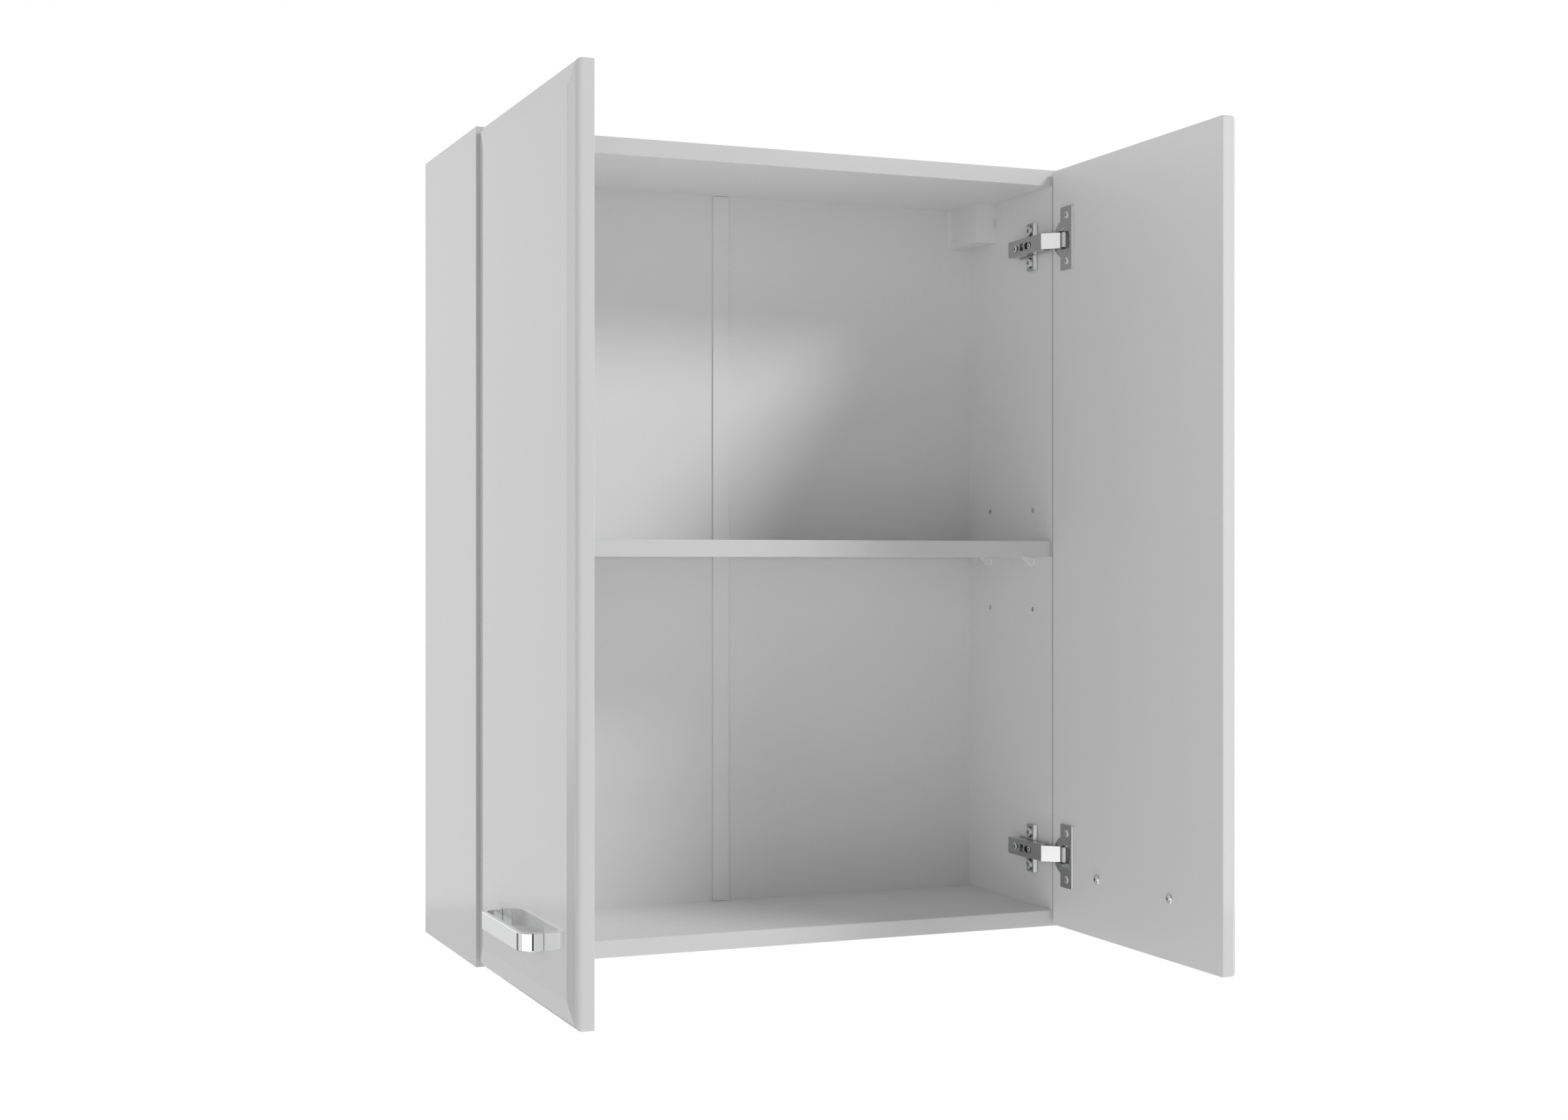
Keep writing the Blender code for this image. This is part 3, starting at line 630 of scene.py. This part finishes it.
def make_boards(finishes):
    """The boards: satin faces, banded front edges, and glossy outer sides."""
    board = [finishes["board"], finishes["edge"], finishes["gloss"]]
    for word, side in SIDES.items():
        node = f"side_{word}"

        def finish_of(normal, middle, side=side):
            return 1 if normal.y < -0.5 else 2 if normal.x * side > 0.7 else 0

        mesh = cad_copy(node, ARRIS, boxed=True)
        piece(f"{node}_board", mesh, board, "case", [node], finish_of)

    def banded(normal, middle):
        return 1 if normal.y < -0.5 else 0

    for node, (radius, growth) in BOARD_ENDS.items():
        mesh = cad_copy(node, radius, boxed=True, grow=(growth, 0, 0))
        piece(f"{node}_board", mesh, board, "case", [node], banded)


def make_back(finishes):
    """Two sheets, white towards the room and raw behind, and the strip that joins them."""

    def raw_behind(normal, middle):
        return 0 if normal.y < -0.5 else 1

    sheets = [finishes["back"], finishes["raw"]]
    for word in SIDES:
        node = f"back_{word}"
        mesh = cad_copy(node, HAIR, 1, grow=(0, SHEET_GROWTH, 0))
        piece(f"{node}_sheet", mesh, sheets, "case", [node], raw_behind)
    strip = cad_copy("back_joint_strip", 0.0003, 2, grow=STRIP_GROWTH)
    piece("joint_strip", strip, [finishes["plastic"]], "case", ["back_joint_strip"])


def shelf_pin(word, side, row, finishes):
    """A moulded pin: a round-ended plate on the side panel, a lip under the shelf, a web and a brace."""
    node = f"shelf_pin_{row}_{word}"
    axes = case_axes(side)
    low, high = local_box(node, axes)
    wall = local_box(f"side_{word}", axes)[1].x
    middle = (low.y + high.y) / 2
    start = wall + 0.0001
    end = start + PIN_PLATE_THICK
    half = PIN_PLATE_HALF
    foot = low.z + half
    plate = [(middle + half, high.z), (middle - half, high.z)]
    plate += arc((middle, foot), half, 180, 360, 12)
    pointed = [(0, PIN_SHANK - 0.0007), (0.0008, PIN_SHANK), (wall - low.x + 0.0005, PIN_SHANK)]
    shank = turned(pointed, 0, (low.x, middle, high.z - PIN_SHANK - 0.0001), 20)
    lip = box((start, middle - PIN_LIP_HALF, high.z - PIN_LIP_TALL), (high.x, middle + PIN_LIP_HALF, high.z))
    gusset = [(start, high.z), (high.x - 0.0006, high.z), (end, low.z + 0.0006), (start, low.z + 0.0006)]
    web = prism(gusset, 1, middle - PIN_WEB_HALF, middle + PIN_WEB_HALF)
    brace = [(high.x - 0.0022, high.z - 0.0003), (high.x, high.z - 0.0003), (end + 0.0004, low.z + 0.0001)]
    brace += [(start, low.z + 0.0001), (start, low.z + 0.0013)]
    rib = prism(brace, 1, middle - PIN_LIP_HALF, middle + PIN_LIP_HALF)
    mesh = solid(prism(plate, 0, start, end), [shank, lip, web, rib], bevel=0.0002, segments=2)
    piece(f"{node}_moulding", placed(mesh, axes), [finishes["milky"]], "case", [node])


def hanger_cover(word, side, finishes):
    """A moulded cover in the upper rear corner, with a flange along the back, and the bracket behind it."""
    node = f"hanger_cover_{word}"
    axes = case_axes(side)
    low, high = local_box(node, axes)
    low.x -= JOINT_OVERLAP
    high += Vector((0, JOINT_OVERLAP, JOINT_OVERLAP))
    flange = box(
        (high.x - COVER_FLANGE_ROOT, high.y - COVER_FLANGE_THICK, low.z),
        (high.x + COVER_FLANGE, high.y, high.z),
    )
    hollow = box(
        (low.x - JUST_PAST, low.y + COVER_WALL, low.z + COVER_WALL),
        (high.x - COVER_WALL, high.y + JUST_PAST, high.z - COVER_WALL),
    )
    slot_middle = low.z + SLOT_LEVEL * (high.z - low.z)
    slot = box(
        (low.x - JUST_PAST, low.y - JUST_PAST, slot_middle - SLOT_HALF),
        (low.x + SLOT_WIDTH, low.y + COVER_WALL - 0.0003, slot_middle + SLOT_HALF),
    )
    mesh = solid(box(low, high), [flange], [hollow], bevel=0.0007, segments=3, late_cuts=[slot])
    piece(f"{node}_shell", placed(mesh, axes), [finishes["plastic"]], "case", [node])
    bracket = f"hanger_bracket_{word}"
    mesh = cad_copy(bracket, 0.0006, 2)
    piece(f"{bracket}_body", mesh, [finishes["zinc"]], "case", [bracket])


# ---------------------------------------------------------------- doors


def door_board(word, side, finishes):
    """A lacquered board: rounded edges, a shallow bevelled frame, and a flat raised middle."""
    node = f"door_{word}"
    axes = door_axes(side)
    low, high = local_box(node, axes)
    width, thickness, height = high.x, high.y, high.z
    shoulder = thickness - DOOR_BEVEL_RISE
    profile = arc((DOOR_INNER_RADIUS, DOOR_INNER_RADIUS), DOOR_INNER_RADIUS, 270, 180, 18)
    profile += arc((DOOR_EDGE_RADIUS, shoulder - DOOR_EDGE_RADIUS), DOOR_EDGE_RADIUS, 180, 90, 24)
    profile.append((DOOR_EDGE_RADIUS + DOOR_BEVEL_WIDTH, thickness))
    shape = bmesh.new()
    rings = []
    for inset, out in profile:
        radius = max(DOOR_CORNER_RADIUS - inset / 2, HAIR)
        outline = rectangle((inset, inset), (width - inset, height - inset), radius, 5)
        rings.append([shape.verts.new((u, out, z)) for u, z in outline])
    bridge(shape, rings)
    bores = []
    for level in LEVELS:
        z = hinge_height(level, word, node)
        bore = [(-PAST, CUP_HOLE_RADIUS), (CUP_DEPTH + 0.0003, CUP_HOLE_RADIUS)]
        bores.append(turned(bore, 1, (CUP_MIDDLE, 0, z), 64))
        mouth = [(u, z + w) for u, w in arc((CUP_MIDDLE, 0), CUP_RADIUS + HAIR, *MOUTH_ARC, 12)]
        mouth += [(CUP_MIDDLE, mouth[-1][1]), (CUP_MIDDLE, mouth[0][1])]
        bores.append(prism(mouth, 1, -PAST, NOTCH_DEPTH + HAIR))
    mesh = solid(shape, late_cuts=bores)

    def inside(normal, middle, side=side):
        return 1 if normal.x * side < -0.9 else 0

    finish = [finishes["gloss"], finishes["board"]]
    mesh = placed(mesh, axes)
    piece(f"{node}_board", mesh, finish, f"door_{word}", [node], inside, DOOR_CREASE)


def handle_bow(word, side, finishes):
    """A flat bar with softened edges, bent into a bow with two round corners."""
    node = f"handle_{word}"
    axes = door_axes(side)
    low, high = local_box(node, axes)
    half = HANDLE_BAR / 2
    bend = HANDLE_CORNER - half
    near = (low.x + half, 0)
    far = (high.x - half, 0)
    crest = high.y - half
    stations = [((near[0], low.y), 90)]
    for centre, start in (((near[0] + bend, crest - bend), 180), ((far[0] - bend, crest - bend), 90)):
        for step in range(25):
            angle = start - 90 * step / 24
            point = arc(centre, bend, angle, angle, 1)[0]
            stations.append((point, angle - 90))
    stations.append(((far[0], low.y), -90))
    middle = (low.z + high.z) / 2
    tall = (high.z - low.z) / 2
    section = rectangle((-half, -tall), (half, tall), HANDLE_EDGE, 4)
    shape = bmesh.new()
    rings = []
    for point, heading in stations:
        across = Vector((-math.sin(math.radians(heading)), math.cos(math.radians(heading))))
        ring = [shape.verts.new((*(Vector(point) + across * n), middle + z)) for n, z in section]
        rings.append(ring)
    bridge(shape, rings)
    mesh = placed(to_mesh(shape), axes)
    piece(f"{node}_bow", mesh, [finishes["chrome"]], f"door_{word}", [node])


# ---------------------------------------------------------------- screws


def screw_mesh(radius, tall, dome, recess, shank, length):
    """A screw along +Z, its head standing on z = 0: a rim this tall, a dome above it, and a cross recess."""
    profile = [(-length, shank * 0.5), (-length + shank, shank), (0, shank), (0, radius - 0.00015)]
    profile += [(0.00015, radius), (max(tall, 0.0002), radius)]
    steps = 8
    for step in range(1, steps):
        angle = math.pi / 2 * step / steps
        profile.append((tall + dome * math.sin(angle), radius * math.cos(angle)))
    cuts = []
    bottom = tall + dome - recess * 1.1
    above = tall + dome + 0.001
    slot = [(-recess * 0.55, bottom), (recess * 0.55, bottom), (recess, above), (-recess, above)]
    for turn in range(2):
        bar = prism(slot, 1, -recess * 0.22, recess * 0.22)
        bmesh.ops.rotate(bar, matrix=Matrix.Rotation(math.radians(45 + 90 * turn), 3, "Z"), verts=bar.verts)
        cuts.append(bar)
    core = turned([(bottom - HAIR, recess * 0.30), (above, recess * 0.48)], 2, (0, 0, 0), 12)
    cuts.append(core)
    return solid(turned(profile, 2, (0, 0, 0), 40), late_cuts=cuts)


def standing(axes, centre, outward):
    """Axes for a screw whose head points along one of the local directions."""
    third = Vector(outward)
    first = Vector((0, 0, 1))
    second = third.cross(first)
    turn = Matrix((first, second, third)).transposed().to_4x4()
    return axes @ Matrix.Translation(centre) @ turn


def make_screws(kinds, word, side, finishes):
    """One side's screws: two through the door into the handle, two in each cup and two in each plate."""
    screw = [finishes["screw"]]
    for end in ("near", "far"):
        node = f"handle_screw_{end}_{word}"
        axes = door_axes(side)
        low, high = local_box(node, axes)
        place = standing(axes, ((low.x + high.x) / 2, 0, (low.z + high.z) / 2), (0, -1, 0))
        piece(f"{node}_head", placed(kinds["handle"], place), screw, f"door_{word}", [node])
    for level in LEVELS:
        for end in ("top", "bottom"):
            node = f"cup_screw_{level}_{end}_{word}"
            axes = door_axes(side)
            low, high = local_box(node, axes)
            centre = ((low.x + high.x) / 2, -FLANGE_THICK + HAIR, (low.z + high.z) / 2)
            place = standing(axes, centre, (0, -1, 0))
            piece(f"{node}_head", placed(kinds["cup"], place), screw, f"door_{word}", [node])
            node = f"plate_screw_{level}_{end}_{word}"
            axes = case_axes(side)
            low, high = local_box(node, axes)
            wall = local_box(f"side_{word}", axes)[1].x
            centre = (wall + WING_TOP, (low.y + high.y) / 2, (low.z + high.z) / 2)
            place = standing(axes, centre, (1, 0, 0))
            piece(f"{node}_head", placed(kinds["plate"], place), screw, "case", [node])


# ---------------------------------------------------------------- hinges


def lead_in(end):
    """The curved lip that leads into the window at its upper (1) or lower (-1) end."""
    shape = bmesh.new()
    rings = []
    wide = [(WINDOW_LEAD, WINDOW_HALF), (WINDOW_FAR + 0.0004, WINDOW_HALF)]
    for u, edge in [(WINDOW_NEAR - 0.0012, NOTCH_HALF), *wide]:
        outline = [(-FLANGE_THICK + HAIR, edge), (LEAD_DEPTH * 0.4, edge * 0.6 + LEAD_HALF * 0.4)]
        outline += [(LEAD_DEPTH, LEAD_HALF), (LEAD_DEPTH + LEAD_THICK, LEAD_HALF + LEAD_THICK)]
        outline.append((-FLANGE_THICK + HAIR, edge + 0.0009))
        rings.append([shape.verts.new((u, v, end * w)) for v, w in outline])
    bridge(shape, rings)
    return solid(shape, bevel=HAIR)


def cup_mesh(tall):
    """The pressed cup in a door's axes: a screw flange with a window, the bowl, and what shows inside it."""
    half = tall / 2
    far = FLANGE_FAR
    rim = CUP_RADIUS + CUP_RIM
    outline = rectangle((FLANGE_NEAR, -half), (far, half), 0.0010)
    flange = prism(outline, 1, -FLANGE_THICK, -0.0001)
    disc = turned([(-FLANGE_THICK, rim), (-0.0001, rim)], 1, (CUP_MIDDLE, 0, 0), 72)
    opening = [(WINDOW_NEAR - 0.0010, -NOTCH_HALF), (WINDOW_LEAD, -WINDOW_HALF), (WINDOW_FAR, -WINDOW_HALF)]
    opening += [(u, -w) for u, w in reversed(opening)]
    window = prism(filleted(opening, 0.0006), 1, -PAST, PAST)
    notch = box((-PAST, -PAST, -NOTCH_HALF), (CUP_MIDDLE, PAST, NOTCH_HALF))
    slant = [(far - FLANGE_SLANT, -PAST), (far - FLANGE_SLANT, -FLANGE_THICK), (far, -HAIR), (far, PAST)]
    beyond = prism([*slant, (far + PAST, PAST), (far + PAST, -PAST)], 2, -half - PAST, half + PAST)
    parts = [solid(flange, [disc], [window, notch, beyond], bevel=0.00025, segments=3)]
    inner = CUP_RADIUS - CUP_WALL
    floor = CUP_DEPTH - CUP_WALL
    profile = [(CUP_DEPTH, 0.001), (CUP_DEPTH, CUP_RADIUS - CUP_FILLET)]
    profile += [(CUP_DEPTH - CUP_FILLET, CUP_RADIUS), (0.0001, CUP_RADIUS), (0.0001, inner)]
    profile += [(floor - CUP_FILLET, inner), (floor, inner - CUP_FILLET), (floor, 0.001)]
    mouth = box((-PAST, -PAST, -NOTCH_HALF), (0.010, NOTCH_DEPTH, NOTCH_HALF))
    parts.append(solid(turned(profile, 1, (CUP_MIDDLE, 0, 0), 72), late_cuts=[mouth]))
    for end in (-1, 1):
        away = end * (WINDOW_HALF + RIDGE_AWAY)
        ridge = box(
            (FLANGE_NEAR + 0.0006, -FLANGE_THICK - RIDGE_TALL, min(away, away - end * RIDGE_WIDTH)),
            (WINDOW_FAR - 0.0006, -FLANGE_THICK + HAIR, max(away, away - end * RIDGE_WIDTH)),
        )
        parts.append(solid(ridge, bevel=0.00025, segments=3))
        parts.append(lead_in(end))
    return joined(parts)


def cheek_outline(wall):
    """One cheek of the arm, in (inward, back): round ears on the pins, open over the plate's wings."""
    foot = wall + CHEEK_FOOT
    top = wall + CHEEK_TOP
    over = wall + WING_TOP + WING_ROOM + HAIR
    ear = arc(PIN_PLACE, EAR_RADIUS, 20, -150, 10)
    return ear + [
        (foot + 0.0030, 0.0052),
        (foot, 0.0100),
        (foot, WING_FRONT - WING_ROOM),
        (over, WING_FRONT - WING_ROOM),
        (over, WING_REAR + WING_ROOM),
        (foot, WING_REAR + WING_ROOM),
        (foot, CHEEK_REAR - 0.0040),
        (foot + 0.0040, CHEEK_REAR),
        (top, CHEEK_REAR + 0.0020),
        (top, CHEEK_FRONT),
    ]


def arm_mesh(wall, top, rear):
    """The arm: a top plate with its screw slots, and two cheeks that carry the link pins."""
    plate = prism(rectangle((ARM_FRONT, -ARM_HALF), (rear, ARM_HALF), 0.0012), 0, top - SHEET, top)
    cheeks = []
    for end in (-1, 1):
        inner, outer = sorted((end * (ARM_HALF - SHEET), end * ARM_HALF))
        cheeks.append(prism(cheek_outline(wall), 2, inner, outer))
    outlines = [oblong(*REAR_SLOT), oblong(*FRONT_SLOT)]
    start, stop, half = MIDDLE_SLOT
    outlines.append(rectangle((start, -half), (stop, half), 0.0005))
    slots = [prism(outline, 0, top - PAST / 2, top + PAST / 2) for outline in outlines]
    parts = [solid(plate, cheeks, slots, bevel=0.00035, segments=3)]
    pin_end = [(ARM_HALF + 0.0002, 0.0011), (ARM_HALF + 0.0004, 0.0008)]
    pin = [(-along, radius) for along, radius in reversed(pin_end)] + pin_end
    for inward, back in (PIN_PLACE, SECOND_PIN_PLACE):
        parts.append(solid(turned(pin, 2, (inward, back, 0), 24)))
    rivet = [(ARM_HALF - 0.0003, 0.0013), (ARM_HALF + 0.0003, 0.0013), (ARM_HALF + 0.0006, 0.0007)]
    for back in RIVET_BACKS:
        for end in (-1, 1):
            profile = [(end * along, radius) for along, radius in rivet]
            parts.append(solid(turned(profile, 2, (wall + RIVET_INWARD, back, 0), 20)))
    return joined(parts)


def plate_mesh(wall, low, high):
    """The mounting plate: a raised rail on a wider foot, and two wings with upright slots."""
    top = high.x
    start = low.x
    rail = prism(rectangle((RAIL_FRONT, -RAIL_HALF), (high.y, RAIL_HALF), 0.0010), 0, start, top)
    foot = rectangle((WING_REAR - 0.001, -FOOT_HALF), (FOOT_REAR, FOOT_HALF), 0.0010)
    foot = prism(foot, 0, start, wall + FOOT_TALL)
    wing_top = wall + WING_TOP
    profile = [(start, WING_FRONT), (wall + 0.0009, WING_FRONT), (wing_top - 0.0010, WING_FRONT + 0.0014)]
    profile += [(wing_top, WING_FRONT + 0.0030), (wing_top, WING_REAR), (start, WING_REAR)]
    wing = prism(profile, 2, low.z, high.z)
    front, rear, half = MIDDLE_SLOT
    pocket = half + 0.0010
    cuts = [box((wall + 0.0010, front - 0.0008, -pocket), (top + JUST_PAST / 2, rear + 0.0008, pocket))]
    for end in (-1, 1):
        upright = oblong(-PLATE_SLOT_HALF[1], PLATE_SLOT_HALF[1], PLATE_SLOT_HALF[0])
        outline = [(PLATE_SCREW_BACK + y, end * PLATE_SCREW_AWAY + z) for z, y in upright]
        cuts.append(prism(outline, 0, wing_top - PLATE_SLOT_DEPTH, wing_top + JUST_PAST))
    tab = [(0.0062, -0.0010), (0.0120, -0.0010), (0.0120, 0.0), (0.0072, 0.0), (0.0062, 0.0018)]
    latch = prism([(wall + 0.0030 + z, y) for y, z in tab], 2, -0.0066, 0.0066)
    mesh = solid(rail, [foot, wing], cuts, bevel=0.0005, segments=3)
    return joined([mesh, solid(latch, bevel=HAIR)])


def link_mesh(half):
    """The outer link: a bright plate from the arm's end into the cup, and two webs that turn on its pin."""
    start, end = Vector(LINK_START), Vector(LINK_END)
    along = (end - start).normalized()
    inward = Vector((along.y, -along.x))
    if inward.x > 0:
        inward = -inward
    under = inward * LINK_THICK
    outline = [*LINK_CURL, tuple(start + under), tuple(end + under), tuple(end), tuple(start)]
    parts = [solid(prism(outline, 2, -half, half), bevel=0.0003, segments=3)]
    pin = Vector(PIN_PLACE)
    foot = start + under * 0.6
    knee = start + along * 0.0095 + under * 0.6
    for side in (-1, 1):
        inner, outer = sorted((side * (half - 0.0012 - LINK_WEB), side * (half - 0.0012)))
        eye = arc(PIN_PLACE, 0.0019, 130, 320, 12)
        web = [tuple(foot), *reversed(eye), tuple(knee)]
        parts.append(solid(prism(web, 2, inner, outer), bevel=HAIR))
    sleeve = turned([(-half + 0.0015, 0.0017), (half - 0.0015, 0.0017)], 2, (pin.x, pin.y, 0), 24)
    parts.append(solid(sleeve))
    return joined(parts)


def barrel_mesh():
    """The sleeve on the cup's own pin, where the outer link's end turns."""
    ends = [(-BARREL_HALF, BARREL_RADIUS - 0.0003), (-BARREL_HALF + 0.0003, BARREL_RADIUS)]
    ends += [(-height, radius) for height, radius in reversed(ends)]
    return solid(turned(ends, 2, (*BARREL_PLACE, 0), 40))


def make_hinges(kinds, word, side, finishes):
    """One door's two hinges, each a cup, a plate, an arm and two links."""
    nickel = [finishes["nickel"]]
    wall = local_box(f"side_{word}", case_axes(side))[1].x
    for level in LEVELS:
        on_door = door_axes(side, hinge_height(level, word, f"door_{word}"))
        on_case = case_axes(side, hinge_height(level, word, f"side_{word}"))
        node = f"hinge_cup_{level}_{word}"
        low, high = local_box(node, on_door)
        mesh = placed(cup_mesh(high.z - low.z), on_door)
        piece(f"{node}_pressing", mesh, nickel, f"door_{word}", [node])
        mesh = placed(barrel_mesh(), on_case)
        piece(f"{node}_barrel", mesh, [finishes["satin"]], f"door_{word}")
        node = f"mounting_plate_{level}_{word}"
        mesh = placed(plate_mesh(wall, *local_box(node, on_case)), on_case)
        piece(f"{node}_pressing", mesh, nickel, "case", [node])
        node = f"hinge_arm_{level}_{word}"
        high = local_box(node, on_case)[1]
        mesh = placed(arm_mesh(wall, high.x, high.y), on_case)
        piece(f"{node}_pressing", mesh, nickel, "case", [node])
        for label, (back, sunk) in ARM_SCREWS.items():
            place = standing(on_case, (high.x - sunk, back, 0), (1, 0, 0))
            mesh = placed(kinds[f"arm_{label}"], place)
            piece(f"arm_screw_{label}_{level}_{word}", mesh, [finishes["screw"]], "case")
        node = f"outer_link_{level}_{word}"
        low, high = local_box(node, on_case)
        mesh = placed(link_mesh((high.z - low.z) / 2), on_case)
        piece(f"{node}_pressing", mesh, [finishes["bright"]], f"outer_links_{word}", [node])
        node = f"inner_link_{level}_{word}"
        mesh = cad_copy(node, HAIR, 2)
        piece(f"{node}_strip", mesh, nickel, f"inner_links_{word}", [node])


# ---------------------------------------------------------------- studio


def make_floor():
    """A plain pale floor, as far below the cabinet as a room's."""
    level = CAD_BOX[0][2] - FLOOR_DROP
    shape = turned([(-0.02, FLOOR_RADIUS), (0.0, FLOOR_RADIUS)], 2, (0, 0, level), 128)
    floor = working_object(to_mesh(shape))
    floor.name = "studio_floor"
    floor.data.materials.append(surface("pale_floor", (0.80, 0.80, 0.80), 0.6, 0.01, 0.05))


def make_world():
    """A bright surround, dimmer at eye level in front, and white where the camera looks past the cabinet."""
    world = bpy.data.worlds.new("studio")
    bpy.context.scene.world = world
    world.use_nodes = True
    tree = world.node_tree
    nodes = Nodes(tree)
    direction = nodes.add("ShaderNodeSeparateXYZ")
    nodes.link(nodes.add("ShaderNodeTexCoord").outputs["Generated"], direction.inputs[0])
    x, y, z = direction.outputs
    # Behind the cabinet: dimmer under the horizon and overhead
    below = nodes.range(z, HORIZON - 0.005, HORIZON + 0.005, WORLD_UNDER, 1.0, smooth=True)
    above = nodes.range(z, 0.1, 0.8, WORLD_BEHIND, WORLD_ABOVE, smooth=True)
    behind = nodes.math("MULTIPLY", below, above)
    # In front of it: bright low down and dark from eye level up, except far to the right
    front = nodes.range(z, -0.35, 0.0, WORLD_LOW, WORLD_FRONT, smooth=True)
    facing = nodes.range(y, -0.5, 0.1, 1.0, 0.0, smooth=True)
    share = nodes.math("MULTIPLY", facing, nodes.range(x, 0.65, 0.9, 1.0, WORLD_RIGHT, smooth=True))
    drop = nodes.math("MULTIPLY", nodes.math("SUBTRACT", behind, front), share)
    level = nodes.math("SUBTRACT", behind, drop)
    azimuth = nodes.math("ARCTAN2", y, x)
    for start, end, low, high, change in STRIPS:
        start, end, soft = math.radians(start), math.radians(end), math.radians(1.5)
        bottom = nodes.range(z, low, low + 0.01, 0.0, change)
        top = nodes.range(z, high, high + 0.05, 1.0, 0.0)
        rise = nodes.range(azimuth, start - soft, start + soft, 0.0, 1.0, smooth=True)
        fall = nodes.range(azimuth, end - soft, end + soft, 1.0, 0.0, smooth=True)
        height = nodes.math("MULTIPLY", bottom, top)
        width = nodes.math("MULTIPLY", rise, fall)
        level = nodes.math("ADD", level, nodes.math("MULTIPLY", width, height))
    level = nodes.math("MAXIMUM", level, 0.0)
    seen = nodes.add("ShaderNodeLightPath").outputs["Is Camera Ray"]
    level = nodes.math("MAXIMUM", level, seen)
    nodes.link(level, tree.nodes["Background"].inputs["Strength"])
    tree.nodes["Background"].inputs["Color"].default_value = (1.0, 1.0, 1.0, 1)


def add_light(name, place, target, size, energy):
    """A round lamp that the camera doesn't see, turned towards its target."""
    lamp = bpy.data.lights.new(name, "AREA")
    lamp.shape = "DISK"
    lamp.size = size
    lamp.energy = energy
    light = bpy.data.objects.new(name, lamp)
    light.location = place
    light.rotation_euler = (Vector(target) - Vector(place)).to_track_quat("-Z", "Y").to_euler()
    light.visible_camera = False
    bpy.context.scene.collection.objects.link(light)


def make_lights():
    """A key lamp far off that casts the doors' shadows, and a wide one low down that faces up."""
    middle = Vector(AIM)
    towards = Vector(KEY_FROM).normalized()
    add_light("key", middle + towards * KEY_AWAY, middle, KEY_SIZE, KEY_ENERGY)
    low = CAD_BOX[0][2] - FLOOR_DROP + LOW_RISE
    add_light("low_fill", (*LOW_PLACE, low), (*LOW_PLACE, 0), LOW_SIZE, LOW_ENERGY)


def make_camera():
    """Level with the cabinet's middle, in front and to the left of it."""
    lens = bpy.data.cameras.new("camera")
    lens.sensor_width = SENSOR
    lens.lens = LENS
    camera = bpy.data.objects.new("camera", lens)
    camera.location = CAMERA_PLACE
    camera.rotation_euler = (math.radians(90), 0, math.radians(CAMERA_TURN))
    bpy.context.scene.collection.objects.link(camera)
    bpy.context.scene.camera = camera


def main():
    bpy.context.scene.view_settings.view_transform = "Standard"
    make_camera()
    make_world()
    make_lights()
    make_floor()
    finishes = make_materials()
    make_boards(finishes)
    make_back(finishes)
    kinds = {name: screw_mesh(*sizes) for name, sizes in SCREWS.items()}
    for word, side in SIDES.items():
        for row in ("front", "rear"):
            shelf_pin(word, side, row, finishes)
        hanger_cover(word, side, finishes)
        door_board(word, side, finishes)
        handle_bow(word, side, finishes)
        make_screws(kinds, word, side, finishes)
        make_hinges(kinds, word, side, finishes)


main()
